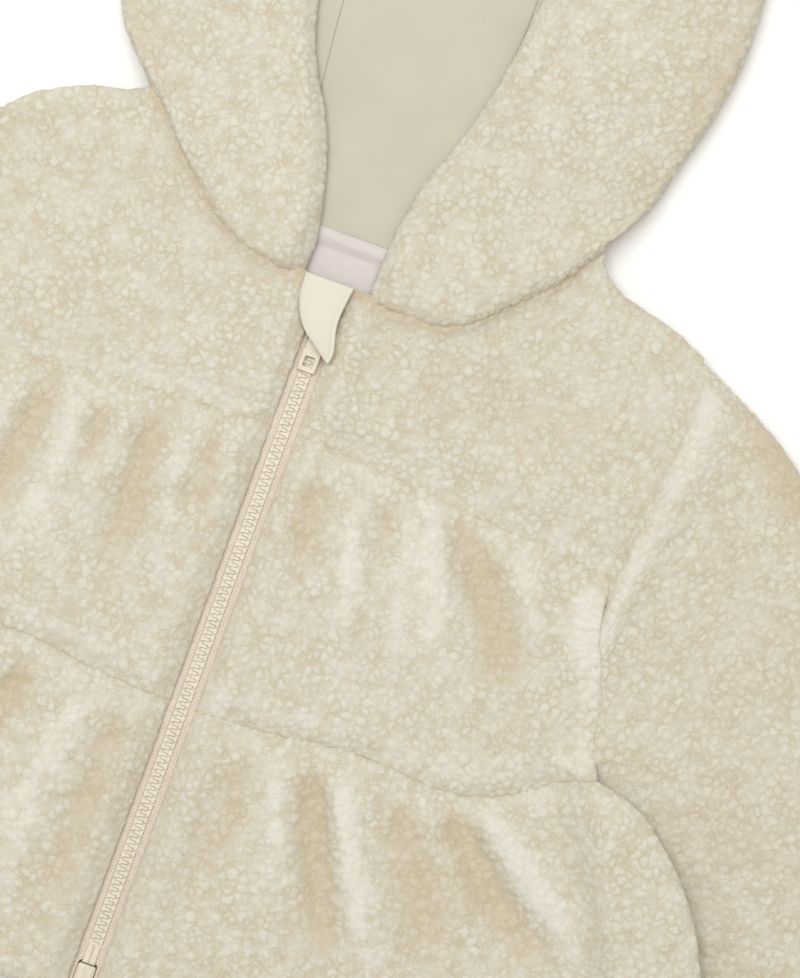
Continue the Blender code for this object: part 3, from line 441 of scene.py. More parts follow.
def makeCurlReader():
    # A mesh tree that writes the curls' values on points, from the same nodes as the material's.
    tree = bpy.data.node_groups.new("curlReader", "GeometryNodeTree")
    for way in ("INPUT", "OUTPUT"):
        tree.interface.new_socket("Geometry", in_out=way, socket_type="NodeSocketGeometry")
    shape = tree.nodes.new("NodeGroupInput").outputs[0]
    place = tree.nodes.new("GeometryNodeInputPosition").outputs["Position"]
    for name, value in zip(curlValues, curlNodes(tree, place)):
        inputs = {"Geometry": shape, "Name": name, "Value": value}
        store = addNode(tree, "GeometryNodeStoreNamedAttribute", inputs, data_type="FLOAT", domain="POINT")
        shape = store.outputs["Geometry"]
    tree.links.new(shape, tree.nodes.new("NodeGroupOutput").inputs[0])
    return tree


curlReader = makeCurlReader()


def readCurls(points):
    flat = np.ascontiguousarray(points.reshape(-1, 3), np.float32)
    mesh = bpy.data.meshes.new("curlPoints")
    mesh.vertices.add(len(flat))
    mesh.vertices.foreach_set("co", flat.ravel())
    reader = bpy.data.objects.new("curlPoints", mesh)
    bpy.context.scene.collection.objects.link(reader)
    reader.modifiers.new("curls", "NODES").node_group = curlReader
    read = reader.evaluated_get(bpy.context.evaluated_depsgraph_get()).data
    values = []
    for name in curlValues:
        value = np.empty(len(flat), np.float32)
        read.attributes[name].data.foreach_get("value", value)
        values.append(value.reshape(points.shape[:-1]).astype(float))
    bpy.data.objects.remove(reader)
    bpy.data.meshes.remove(mesh)
    return values


def raisePile(points, normals, amount, seamNear):
    # Each curl rises steeply from its crease, as one less the cube of what is left to its flat top, with a
    # round dome on it. Near a seam the pile swells outwards instead, so that it meets its neighbour's.
    inside, away, own = readCurls(points)
    steep = 1 - (1 - np.clip(inside / pile["flatTop"], 0, 1)) ** 3
    dome = 1 - pile["domeFall"] * away ** 2
    rise = (1 - pile["domeShare"]) * steep + pile["domeShare"] * dome
    rise = rise * (1 - pile["unlike"] / 2 + pile["unlike"] * own)
    height = pile["curlDepth"] * (rise - pile["sink"] * (1 - pile["seamSwell"] * seamNear))
    height += pile["fineDepth"] * (smoothNoise(points, pile["fineSize"], 61) - 0.5)
    return points + normals * (height * amount)[..., None]


def overEdges(points, plan, away, reaches):
    # At each edge the points move outwards: by its first reach at the rim, which closes a seam, and by its
    # second about a millimetre inside, where the rolled edge bulges out over its own rim. Both are uneven.
    moved = points.copy()
    stray = 0.4 + 1.2 * smoothNoise(points, pile["straySize"], 91)
    ways = (plan[:, :1] - plan[:, 3:4], plan[:, -1:] - plan[:, -4:-3],
            plan[:1] - plan[3:4], plan[-1:] - plan[-4:-3])
    for distance, way, (rim, roll) in zip(away, ways, reaches):
        reach = rim * bell(distance, pile["seamWidth"])
        reach = reach + roll * bell(distance, pile["rollWidth"], pile["rollIn"])
        moved[..., :2] += (reach * stray)[..., None] * unit(way)
    return moved


# Materials

def newMaterial(name, colour, roughness, **sockets):
    material = bpy.data.materials.new(name)
    material.use_nodes = True
    shader = material.node_tree.nodes["Principled BSDF"]
    shader.inputs["Base Color"].default_value = (*colour, 1)
    shader.inputs["Roughness"].default_value = roughness
    for key, value in sockets.items():
        shader.inputs[key.replace("_", " ")].default_value = value
    return material, material.node_tree, shader


def objectPlace(tree, stretch=(1, 1, 1)):
    place = addNode(tree, "ShaderNodeTexCoord").outputs["Object"]
    if stretch == (1, 1, 1):
        return place
    return addNode(tree, "ShaderNodeMapping", {"Vector": place, "Scale": stretch}).outputs["Vector"]


def wave(tree, scale, distortion, way):
    inputs = {"Vector": objectPlace(tree), "Scale": scale, "Distortion": distortion}
    return addNode(tree, "ShaderNodeTexWave", inputs, bands_direction=way).outputs["Fac"]


def finish(tree, shader, colour, *layers):
    # Each layer is a height from 0 to 1, with its strength and its reach in metres.
    under = None
    for height, strength, distance in layers:
        inputs = {"Height": height, "Strength": strength, "Distance": distance}
        if under:
            inputs["Normal"] = under
        under = addNode(tree, "ShaderNodeBump", inputs).outputs["Normal"]
    tree.links.new(under, shader.inputs["Normal"])
    tree.links.new(colour, shader.inputs["Base Color"])


fleeceLook = {
    "curl": (0.605, 0.583, 0.50),
    # The pale of the curls' tips, which is also the painted highlight on the crests of folds
    "tip": (0.72, 0.705, 0.635),
    "tipShare": 0.5,      # of it on the curls that have most
    # Painted shade in the creases between curls, also used for dark fibre specks, and painted shade in fold
    # troughs
    "creaseShade": (0.46, 0.375, 0.22),
    "troughShade": (0.53, 0.435, 0.29),
    "blotch": (0.61, 0.505, 0.365),
    "blotchScale": 0.21,  # scales are per millimetre
    "blotchShare": 0.28,
    "creaseWidth": 0.46,
    "creaseShare": 0.52,
    "ridgeCrease": 0.12,  # what is left of that on a ridge
    "fadeScale": 0.12,
    "fadedCrease": 0.3,   # and in places where the creases close
    # Shares of painted shade in fold troughs and of painted highlight on fold ridges
    "troughShare": 0.72,
    "ridgeShare": 0.95,
    "fibreScale": 1.7,
    "fibreShare": 0.2,
    "fibreBump": (0.5, 0.0005),
    "roughness": 0.95,
    "sheen": 0.25,
    "sheenRoughness": 0.6,
}


def fleeceMaterial():
    # Tan painted shade in the creases between curls, and cream on the curls. The creases fade at random in
    # places and on the crests of folds, which get a painted highlight, and show most in troughs, which get
    # warm painted shade.
    look = fleeceLook
    material, tree, shader = newMaterial("fleecePile", look["curl"], look["roughness"],
                                         Sheen_Weight=look["sheen"], Sheen_Roughness=look["sheenRoughness"])
    rest = addNode(tree, "ShaderNodeAttribute", attribute_name="rest").outputs["Vector"]
    # The fold attribute: a painted highlight where it is over 0 and painted shade where it is under 0
    fold = addNode(tree, "ShaderNodeAttribute", attribute_name="fold").outputs["Fac"]
    inside, away, own = curlNodes(tree, rest)
    fade = noise(tree, rest, look["fadeScale"])
    fibres = noise(tree, rest, look["fibreScale"], 4.0)
    warm = noise(tree, rest, look["blotchScale"], 3.0)
    # Masks for the painted highlight on fold ridges and the painted shade in fold troughs; the painted crease
    # shade fades at random and on ridges
    ridge = mapRange(tree, fold, -0.1, 1.15)
    troughShade = mapRange(tree, fold, 0.1, -1.35)
    shown = valueMath(tree, "MULTIPLY", mapRange(tree, fade, 0.35, 0.7, 1.0, look["fadedCrease"]),
                   mapRange(tree, ridge, 0.0, 1.0, look["creaseShare"], look["ridgeCrease"]))
    creaseShade = valueMath(tree, "MULTIPLY", mapRange(tree, inside, look["creaseWidth"], 0.0), shown)
    colour = look["curl"]
    for share, toward in (
            (mapRange(tree, own, 0.0, 1.0, 0.0, look["tipShare"]), "tip"),
            (valueMath(tree, "MULTIPLY", ridge, look["ridgeShare"]), "tip"),
            (valueMath(tree, "MULTIPLY", troughShade, look["troughShare"]), "troughShade"),
            (mapRange(tree, warm, 0.47, 0.72, 0.0, look["blotchShare"]), "blotch"),
            (creaseShade, "creaseShade"),
            (mapRange(tree, fibres, 0.52, 0.36, 0.0, look["fibreShare"]), "tip"),
            (mapRange(tree, fibres, 0.45, 0.68, 0.0, look["fibreShare"]), "creaseShade")):
        colour = mixColours(tree, share, colour, look[toward])
    finish(tree, shader, colour, (fibres, *look["fibreBump"]))
    return material


cottonLook = {
    "lining": (0.545, 0.515, 0.42),
    "guard": (0.70, 0.66, 0.565),
    "slowScale": 40.0,     # scales are per metre
    "slowShade": 0.94,
    "threadScale": 260.0,
    "threadShade": 0.7,
    "threadShare": 0.06,
    "threadBump": (0.12, 0.0002),
    "roughness": 0.8,
    "sheen": 0.15,
    "sheenRoughness": 0.5,
}


def cottonMaterial(name, colour):
    # Fine twill: a slanting wave for the ribs, crossed by an upright one, and a slow change of tone.
    look = cottonLook
    material, tree, shader = newMaterial(name, colour, look["roughness"], Sheen_Weight=look["sheen"],
                                         Sheen_Roughness=look["sheenRoughness"])
    slow = mapRange(tree, noise(tree, objectPlace(tree), look["slowScale"]), 0.3, 0.7)
    upright, slanting = (wave(tree, look["threadScale"], 0.6, way) for way in ("X", "DIAGONAL"))
    base = mixColours(tree, slow, tuple(look["slowShade"] * value for value in colour), colour)
    base = mixColours(tree, mapRange(tree, upright, 0.0, 1.0, look["threadShare"], 0.0), base,
                      tuple(look["threadShade"] * value for value in colour))
    finish(tree, shader, base, *((height, *look["threadBump"]) for height in (upright, slanting)))
    return material


satinLook = {
    "dark": (0.565, 0.50, 0.485),
    "light": (0.62, 0.56, 0.545),
    "grain": (900.0, 1.0, (0.15, 4.0, 1.0)),  # scale, detail and stretch
    "bump": (0.15, 0.0002),
    "roughness": 0.45,
    "sockets": {"Sheen_Weight": 0.1},
}

tapeLook = {
    "dark": (0.65, 0.57, 0.47),
    "light": (0.735, 0.665, 0.57),
    "grain": (1400.0, 2.0, (1.0, 0.35, 1.0)),
    "bump": (0.3, 0.0003),
    "roughness": 0.85,
    "sockets": {"Sheen_Weight": 0.1},
    # Painted shade in the grooves between the ribs
    "groove": (0.52, 0.42, 0.31),
    "grooveShadeShare": 0.4,
    "ribScale": 249.0,
}

plasticLook = {
    "dark": (0.64, 0.575, 0.455),
    "light": (0.70, 0.64, 0.53),
    "grain": (300.0, 2.0, (1, 1, 1)),
    "bump": (0.05, 0.0002),
    "roughness": 0.38,
    "sockets": {"Specular_IOR_Level": 0.4},
}


def grainMaterial(name, look):
    # A noise mixes a dark and a light tone and raises the surface a little. A ribbed cloth has painted
    # shade in its grooves along Y too.
    material, tree, shader = newMaterial(name, look["light"], look["roughness"], **look["sockets"])
    scale, detail, stretch = look["grain"]
    grain = noise(tree, objectPlace(tree, stretch), scale, detail)
    base = mixColours(tree, mapRange(tree, grain, 0.3, 0.7), look["dark"], look["light"])
    if "groove" in look:
        ribs = wave(tree, look["ribScale"], 0.8, "Y")
        groove = mapRange(tree, ribs, 0.6, 0.1, 0.0, look["grooveShadeShare"])
        base = mixColours(tree, groove, base, look["groove"])
    finish(tree, shader, base, (grain, *look["bump"]))
    return material


fleece = fleeceMaterial()
liningCotton = cottonMaterial("liningCotton", cottonLook["lining"])
guardCotton = cottonMaterial("guardCotton", cottonLook["guard"])
labelSatin = grainMaterial("labelSatin", satinLook)
zipTapeWeave = grainMaterial("zipTapeWeave", tapeLook)
zipPlastic = grainMaterial("zipPlastic", plasticLook)
print("jacket: the materials are made")


# Heights of the cloth and its painted light and shade. A tone runs from -1, painted shade in a trough, to 1, a
# painted highlight on a ridge.

# Each fold is a soft ridge (height over 0) or trough (height under 0) along a line of three points:
# start x, y, middle x, y, end x, y, then the width at its start and its end, and its height.
folds = {
    "middleLeft": [
        (21, -44, 24, -67, 28, -92, 6, 9, -2.4),
        (37, -42, 45, -72, 56, -110, 5, 7, 2.4),
        (57, -36, 54, -52, 58, -72, 4, 6, -2.0),
        (63, -46, 72, -80, 83, -115, 6, 8, 1.7),
        (69, -35, 83, -72, 97, -112, 4, 7, 2.4),
        (80, -35, 98, -58, 126, -104, 5, 11, -4.4),
        (110, -44, 121, -62, 134, -84, 5, 8, 2.2),
        (126, -41, 131, -47, 138, -58, 4, 5, -1.8),
        (142, -46, 149, -65, 156, -88, 7, 10, 2.6),
    ],
    "middleRight": [
        (24, -42, 25, -66, 26, -92, 5, 8, -1.8),
        (38, -42, 34, -75, 29, -108, 5, 7, 1.5),
        (50, -38, 50, -78, 48, -122, 6, 9, -3.6),
        (62, -42, 62, -64, 63, -90, 5, 7, 1.8),
        (72, -40, 72, -56, 72, -80, 4, 5, -2.2),
        (83, -44, 84, -88, 88, -134, 6, 9, 1.8),
        (97, -42, 102, -82, 111, -124, 5, 8, -3.2),
        (110, -44, 116, -74, 126, -112, 6, 8, 1.6),
        (123, -46, 128, -74, 138, -108, 5, 7, -2.4),
        (140, -50, 147, -68, 155, -92, 8, 11, 2.8),
    ],
    "lowerLeft": [
        (34, -162, 33, -192, 33, -230, 6, 10, -2.0),
        (44, -162, 55, -188, 66, -216, 5, 7, 2.0),
        (60, -157, 75, -194, 103, -240, 5, 10, -5.0),
        (73, -158, 94, -202, 118, -238, 5, 9, 3.8),
        (98, -156, 119, -192, 141, -226, 7, 13, -3.0),
        (106, -152, 111, -160, 118, -171, 5, 6, 2.0),
        (118, -152, 150, -182, 192, -206, 6, 11, -4.8),
        (130, -148, 164, -176, 200, -204, 6, 9, 4.2),
        (160, -214, 186, -230, 214, -244, 10, 12, 2.0),
    ],
    "lowerRight": [
        (22, -160, 24, -208, 28, -266, 6, 11, -2.4),
        (40, -160, 46, -212, 56, -276, 7, 11, 2.0),
        (64, -156, 80, -202, 100, -264, 5, 9, -4.4),
        (84, -156, 104, -200, 134, -264, 6, 11, 2.6),
        (104, -152, 130, -190, 170, -240, 6, 13, -4.2),
        (130, -146, 160, -172, 206, -204, 6, 9, -4.4),
        (142, -140, 172, -160, 216, -190, 7, 10, 3.6),
    ],
    "lineParts": 8,
    "widen": 1.15,
    "startShare": 0.35,  # of its height, where a fold leaves its seam
    "rise": 0.25,        # shares of its length in which it rises and fades
    "fade": 0.6,
    "flatShare": 0.25,   # of a fold's height that stays beside a seam
    "fullShadingHeight": 2.7,     # height of a fold that has the full painted shading
}

puffs = {
    "middle": 3.6,
    "lower": 4.6,
    "yoke": 1.0,
    "rise": 16.0,        # lengths over which a puff rises from its upper seam and falls to its lower one
    "fall": 20.0,
    "yokeRise": 14.0,
    "byZip": 0.35,       # share of a puff that stays beside the zip
    "flatByZip": 18.0,
    "yokeByZip": 16.0,
    "softFloor": 1.2,
    "lowerRoll": (4.5, 8.0),     # width of the roll beside a seam, and its distance from it
    "upperRoll": (3.0, 5.0),
    "rollRise": 0.4,
    # The next is the painted highlight on the rolls beside the seams
    "rollHighlight": 0.5,
    "strays": ((7.0, 0.5, 3), (3.6, 0.4, 4)),  # size, tone and salt
}

yokeForm = {
    "base": 0.2,
    "seamBulge": (12.0, -16.0, 1.2),   # width, place and height of a bulge over the seam,
    "chestBulge": (22.0, 120.0, 0.8),  # and of the one towards the armhole
    "stray": (13.0, 0.35, 8),
    "seamPaintedShading": (4.0, 6.0, 0.45),      # width, distance from the seam and amount of a painted highlight on the roll above it
    "shade": (48.0, 88.0, 17.0, 12.0, -0.4),  # on the wearer's left: width and place across and up, and tone
}

flareLie = {"rest": 14.2, "ramp": 20.0, "startY": -115.0, "startReach": 9.0}

sleeveCut = {
    "outer": [shoulderTip, (176, 46), (206, 28), (232, 0), (252, -34), (276, -92), (300, -149), (322, -205)],
    "inner": [underarm, (160.5, -83), (166, -104), (174, -123), (190, -153), (207, -185), (224, -216),
              (240, -245)],
    "armholeEnd": [(150.4, -56), (150, -71)],   # the sleeve's start and inner edge lie under the body here
    "tucked": [(150, -71), (155, -85), (160.5, -105), (166.5, -124), (186, -153), (207, -185), (224, -216),
               (240, -245)],
    "offBody": 0.35,
    "length": 290.0,
    "width": 100.0,
    "turnSteps": 15,
    "underSteps": 28,
    "insideSteps": 22,
    "height": 13.2,
    "lowerWall": 5.4,
    "slit": 3.0,
    "cuffEdge": (3.5, 0.72),     # radius over which the cuff rounds off, and its height there as a share
    "capRoll": 3.4,              # height of the roll beside the armhole,
    "capReach": (7.0, 9.0, 22.0),  # where it is full, where it starts to fall and how far it falls
    "swell": 1.6,
    "startDrop": 2.2,
    "startReach": 5.0,
    "seamWidth": 1.8,
    "seamReach": 4.2,            # times the pile's own reach over a seam
    # Painted highlight on the roll, and painted shade at the seam; armShade and bodyShade are painted shade
    # down the arm and by the body
    "capHighlight": (6.5, 11.0, 0.7),
    "seamPaintedShading": (3.5, 0.0, -0.6),
    "stray": (16.0, 0.4, 5),
    "armShade": 0.28,
    "bodyShade": 0.75,
    "bodyShareWide": 0.14,
}


def foldRelief(x, y, rows):
    # Sum of the folds: each is a bell across its line that fades at both ends.
    total = np.zeros(x.shape)
    parts = folds["lineParts"]
    for row in rows:
        line = linePoints([row[0:2], row[2:4], row[4:6]], parts + 1)
        nearest = np.full(x.shape, 1e9)
        share = np.zeros(x.shape)
        for part in range(parts):
            start = line[part]
            step = line[part + 1] - start
            along = np.clip(((x - start[0]) * step[0] + (y - start[1]) * step[1]) / (step @ step), 0, 1)
            away = np.hypot(x - start[0] - along * step[0], y - start[1] - along * step[1])
            share = np.where(away < nearest, (part + along) / parts, share)
            nearest = np.minimum(away, nearest)
        widthStart, widthEnd, height = row[6:]
        width = folds["widen"] * (widthStart + (widthEnd - widthStart) * share)
        fade = softStep(folds["startShare"] + share / folds["rise"]) * softStep((1.1 - share) / folds["fade"])
        total += height * fade * bell(nearest, width)
    return total


def seamY(x, table):
    line = linePoints(table, 60)
    return np.interp(np.abs(x), line[:, 0], line[:, 1])


def restHeight(x, y):
    # The surface, and the sleeve where the flare reaches over it.
    edge = linePoints(sleeveCut["inner"], 60)[::-1]
    pit, cuffIn = np.array(sleeveCut["inner"][0]), np.array(sleeveCut["inner"][-1])
    slant = np.linalg.norm(cuffIn - pit) / (pit[1] - cuffIn[1])
    past = (np.abs(x) - np.interp(y, edge[:, 1], edge[:, 0])) / slant
    climb = softStep((past + flareLie["ramp"] + 1) / flareLie["ramp"])
    return flareLie["rest"] * climb * softStep((flareLie["startY"] - y) / flareLie["startReach"])


def zipLift(x):
    # The fronts lie on the zip's tape near the middle.
    lift = zipper["chainLow"] + zipper["chainThick"] / 2 + zipper["tapeThick"] / 2 - cloth["wall"]
    return lift * (1 - softStep((np.abs(x - zipper["middleX"]) - zipper["tapeHalf"] - 1) / 10))


def fromZipShare(x, reach):
    # 0 at the fronts' edges by the zip and 1 from this reach on.
    return softStep((np.abs(x - zipper["middleX"]) - 4) / reach)


def strayTone(points, size, tone, salt):
    return tone * (smoothNoise(points, size, salt) - 0.5)


def tierRelief(plan, rows, puff, upper, lower):
    # A gathered tier over its lowest lie: a puff between two seams, plus its folds, kept over zero.
    x, y = plan[..., 0], plan[..., 1]
    fromUpper, fromLower = seamY(x, upper) - y, y - seamY(x, lower)
    swell = softStep(fromUpper / puffs["rise"]) * softStep(0.25 + fromLower / puffs["fall"])
    folding = foldRelief(np.abs(x), y, rows) * (folds["flatShare"] + (1 - folds["flatShare"]) * swell)
    byZip = puffs["byZip"] + (1 - puffs["byZip"]) * fromZipShare(x, puffs["flatByZip"])
    roll = bell(fromLower, *puffs["lowerRoll"]) + 0.5 * bell(fromUpper, *puffs["upperRoll"])
    height = puff * swell * byZip + folding + puffs["rollRise"] * roll
    # The tone: painted highlight on fold ridges and on the rolls by the seams, painted shade in fold troughs,
    # and random tone
    tone = folding / folds["fullShadingHeight"] + puffs["rollHighlight"] * roll
    tone = tone + sum(strayTone(raised(plan, 0), *stray) for stray in puffs["strays"])
    return 0.5 * (height + np.sqrt(height ** 2 + puffs["softFloor"])), np.clip(tone, -1, 1)


def yokeRelief(plan):
    # A yoke lies nearly flat, with a low bulge over its seam and another towards the armhole.
    form = yokeForm
    x, y = plan[..., 0], plan[..., 1]
    fromSeam = y - seamY(x, cut["yokeSeam"])
    swell = softStep(fromSeam / puffs["yokeRise"])
    bulge = hump(y, *form["seamBulge"]) + hump(np.abs(x), *form["chestBulge"])
    height = form["base"] + puffs["yoke"] * swell + bulge * swell * fromZipShare(x, puffs["yokeByZip"])
    # The tone: random, a painted highlight on the roll above the seam and painted shade on the wearer's left
    fold = strayTone(raised(plan, 0), *form["stray"]) + hump(fromSeam, *form["seamPaintedShading"])
    wide, placeX, high, placeY, tone = form["shade"]
    return height, fold + tone * bell(x, wide, placeX) * bell(y, high, placeY)


# Fronts

def fromZip(table, side):
    table = onSide(table, side)
    table[0, 0] = zipper["middleX"] + side * zipper["frontEdge"]
    return smoothLine(table)


# Lengths of the panels across and along, which give their grids' counts, and the shares of the yoke's top
# edge where its neck line starts and ends
panelSizes = {"yoke": (150, 95), "middle": (158, 105), "lower": (212, 128), "neckShares": (0.057, 0.63)}


def panelGrid(size, spacing):
    return np.meshgrid(*(gridShares(length, spacing) for length in panelSizes[size]))


def yokePlan(side, spacing):
    ending = "Left" if side > 0 else "Right"
    neck = smoothLine(onSide(cut["frontNeck" + ending], side))
    shoulder = smoothLine(onSide(cut["shoulder" + ending], side))
    neckStart = neck(np.zeros(1))[0]
    corner = (zipper["middleX"] + side * zipper["frontEdge"], neckStart[1])
    top = joinedLines([straightLine(corner, neckStart), neck, shoulder], [0, *panelSizes["neckShares"], 1])
    seam = fromZip(cut["yokeSeam"], side)
    armhole = smoothLine(onSide(cut["yokeArmhole"][::-1], side))
    return patch(seam, top, joinEnds(seam, top, 0), armhole, *panelGrid("yoke", spacing))


def middlePlan(side, spacing):
    seam, low = fromZip(cut["yokeSeam"], side), fromZip(cut["tierSeam"], side)
    armhole = linePoints(cut["tierArmhole"], 4)
    outer = smoothLine(onSide(np.concatenate([armhole, cut["tierSide"][1:]])[::-1], side))
    return patch(low, seam, joinEnds(low, seam, 0), outer, *panelGrid("middle", spacing))


def lowerPlan(side, spacing):
    seam, hem = fromZip(cut["tierSeam"], side), fromZip(cut["hem"], side)
    outer = smoothLine(onSide(cut["flareSide"][::-1], side))
    return patch(hem, seam, joinEnds(hem, seam, 0), outer, *panelGrid("lower", spacing))


# Each edge has the radius over which the pile rounds off and its height at the edge as a share.
frontEdges = {
    "zip": (9.0, 0.04),
    "seam": (4.0, 0.72),
    "hem": (4.6, 0.1),
    "armhole": (3.8, 0.56),
    "tierSide": (4.2, 0.62),
    "shoulder": (4.4, 0.12),
    "yokeTop": (4.4, 0.12),
}

# How much the pile at each edge meets a neighbour's, and how much the edge rolls out over its own rim
meetings = {
    "zip": (0.0, 0.4),
    "seam": (1.0, 0.0),
    "hem": (0.0, 0.8),
    "armhole": (2.0, 1.0),
    "tierSide": (2.0, 1.0),
    "shoulder": (0.6, 0.0),
    "yokeTop": (2.5, 0.8),
    "opening": (0.0, 0.9),
    "neck": (1.4, 0.3),
    "fold": (0.0, 0.0),
    "top": (1.0, 0.0),
}

# How the fronts' edges lie, and their painted light and shade. Each of those has its width, its distance from
# the edge and its amount.
frontLie = {
    "zipSink": 0.45,         # share of the tape's lift that the upper side doesn't follow
    "seamNear": 1.6,         # width of the strip where pile meets pile
    "underHood": 0.8,        # share added to the yoke's edge as far as the hood covers it,
    "hoodRise": 2.0,         # and its rise there, which is this wide
    "hoodRiseWidth": 4.5,
    "hoodEnds": (17.0, 102.0, 104.0),
    # A painted highlight along the tier's side, painted shadow under the hood, painted shade by the zip and at
    # seams
    "sideHighlight": (5.0, 3.0, 0.6),
    "underHoodShadow": (6.0, 0.0, -0.85),
    "zipShade": (5.5, 0.0, -0.35),
    "seamPaintedShading": -0.5,
}


def edgeReaches(edges):
    return [(meetings[edge][0] * pile["seamReach"], meetings[edge][1] * pile["rollReach"]) for edge in edges]


def edgeShare(plan, away, edges):
    # The wall's height as a share, which is the four edges' rounding multiplied, then how near a seam each
    # point is. The zip's edge slopes as a quarter of a sine, and the yoke's stays high under the hood.
    share = np.ones(plan.shape[:2])
    seamNear = np.zeros(plan.shape[:2])
    byNeck = frontLie["underHood"] * softStep((frontLie["hoodEnds"][1] - np.abs(plan[-1:, :, 0])) / 8)
    for distance, edge in zip(away, edges):
        radius, low = frontEdges[edge]
        if edge == "zip":
            share *= low + (1 - low) * np.sin(0.5 * np.pi * np.clip(distance / radius, 0, 1))
        else:
            share *= rounded(distance, radius, low + byNeck if edge == "yokeTop" else low)
        seamNear = np.maximum(seamNear, min(1, meetings[edge][0]) * bell(distance, frontLie["seamNear"]))
    return share, seamNear


def frontPanel(name, side, plan, relief, edges):
    x, y = plan[..., 0], plan[..., 1]
    away = edgeDistances(plan)
    fromZipEdge, toOuter, _, toHigh = away
    share, seamNear = edgeShare(plan, away, edges)
    height, fold = relief(plan)
    under = cloth["wall"] + cloth["layerGap"] + restHeight(x, y) + zipLift(x) + cloth["hollow"] * height
    over = under + (cloth["wall"] - frontLie["zipSink"] * zipLift(x)) * share + (1 - cloth["hollow"]) * height
    # Painted highlight along the tier's side, painted shadow along the yoke's edge under the hood, painted
    # shade at seams and by the zip
    if "tierSide" in edges:
        fold = fold + hump(toOuter, *frontLie["sideHighlight"]) * softStep(toHigh / 12)
    if "yokeTop" in edges:
        start, _, end = frontLie["hoodEnds"]
        byHood = softStep((end - np.abs(x)) / 8)
        rise = frontLie["hoodRise"] * byHood * softStep((np.abs(x) - start) / 10)
        over = over + rise * bell(toHigh, frontLie["hoodRiseWidth"])
        fold = fold + hump(toHigh, *frontLie["underHoodShadow"]) * byHood
    fold = fold * softStep(share) + frontLie["seamPaintedShading"] * seamNear
    fold = fold + hump(fromZipEdge, *frontLie["zipShade"])
    smooth = raised(plan, over)
    lifted = raisePile(smooth, gridNormals(smooth) * side, 0.5 + 0.5 * share, seamNear)
    lifted = overEdges(lifted, plan, away, edgeReaches(edges))
    piece = shell(name, lifted, raised(plan, under)[::4, ::4], fleece, side < 0, smooth, fold)
    dress(piece, nodeOf(name))


def makeFronts():
    spacing = cloth["frontSpacing"]
    for side, ending in ((1, "Left"), (-1, "Right")):
        frontPanel("frontYoke" + ending, side, yokePlan(side, spacing), yokeRelief,
                   ("zip", "armhole", "seam", "yokeTop"))
        middle = folds["middle" + ending], puffs["middle"], cut["yokeSeam"], cut["tierSeam"]
        frontPanel("frontMiddleTier" + ending, side, middlePlan(side, spacing),
                   lambda plan: tierRelief(plan, *middle),
                   ("zip", "tierSide", "seam", "seam"))
        lower = folds["lower" + ending], puffs["lower"], cut["tierSeam"], cut["belowHem"]
        frontPanel("frontLowerTier" + ending, side, lowerPlan(side, spacing),
                   lambda plan: tierRelief(plan, *lower),
                   ("zip", "hem", "hem", "seam"))


# Backs

def wholePlan(planOf, spacing):
    # The back has no opening: its two halves are drawn on to the middle line and joined.
    halves = []
    for side in (-1, 1):
        plan = planOf(side, spacing)
        edge = plan[:, :1, 0].copy()
        plan[..., 0] -= edge * np.exp(-np.abs(plan[..., 0] - edge) / 12)
        halves.append(plan)
    return np.concatenate([halves[0][:, ::-1], halves[1][:, 1:]], axis=1)


def makeBacks():
    for name, planOf, flat, area, held in (
            ("backYoke", yokePlan, (0.312, 0.130), 0.0325, "laid"),
            ("backMiddleTier", middlePlan, (0.430, 0.124), 0.0480, "gathered"),
            ("backLowerTier", lowerPlan, (0.600, 0.168), 0.0760, "gathered")):
        plan = wholePlan(planOf, cloth["backSpacing"])
        rises = name == "backLowerTier"
        under = restHeight(plan[..., 0], plan[..., 1]) * rises
        share, seamNear = edgeShare(plan, edgeDistances(plan), ("shoulder", "shoulder", "seam", "seam"))
        smooth = raised(plan, under + cloth["wall"] * share)
        lifted = raisePile(smooth, gridNormals(smooth), 0.4 * share, seamNear)
        piece = shell(name, lifted, raised(plan, under)[::4, ::4], fleece, False, smooth, 0 * share)
        dress(piece, nodeOf(name))


makeFronts()
print("jacket: the fronts are made")
makeBacks()
print("jacket: the back is made")


# Sleeves

ringTop, ringInner, ringUnder, ringOuter = range(4)  # the four parts of a sleeve's ring


def sleeveSteps():
    # The steps round a ring: over the top, round the inner edge, back underneath and round the outer edge.
    # Each has its share across, its part and its angle.
    topCount = round(sleeveCut["width"] / cloth["frontSpacing"]) - 2
    turns, underCount = sleeveCut["turnSteps"], sleeveCut["underSteps"] - 2
    share = np.concatenate([np.linspace(0, 1, topCount + 2)[1:-1], np.ones(turns),
                            np.linspace(1, 0, underCount + 2)[1:-1], np.zeros(turns)])
    part = np.repeat([ringTop, ringInner, ringUnder, ringOuter], [topCount, turns, underCount, turns])
    angle = np.zeros(len(share))
    angle[part == ringInner] = np.linspace(90, -90, turns)
    angle[part == ringOuter] = np.linspace(-90, 90, turns)
    return share[None], part[None], np.radians(angle)[None]


def sleeveRings(lines, steps, t, width, half, inset):
    # Rings between the sleeve's edges: their plan, shares across, reach from the armhole, and how far up
    # each point is between the ring's lowest and highest side.
    share, part, angle = steps
    off = (inset + half * (1 - np.cos(angle))) / width
    edge = (inset + half) / width
    across = np.where(part == ringOuter, off, edge + (1 - 2 * edge) * share)
    across = np.where(part == ringInner, 1 - off, across)
    plan = patch(*lines, across, np.repeat(t[:, None], share.size, axis=1))
    up = np.where(part == ringTop, 1.0, np.where(part == ringUnder, 0.0, (1 + np.sin(angle)) / 2))
    return plan, across, apart(plan, lines[0](across)), up


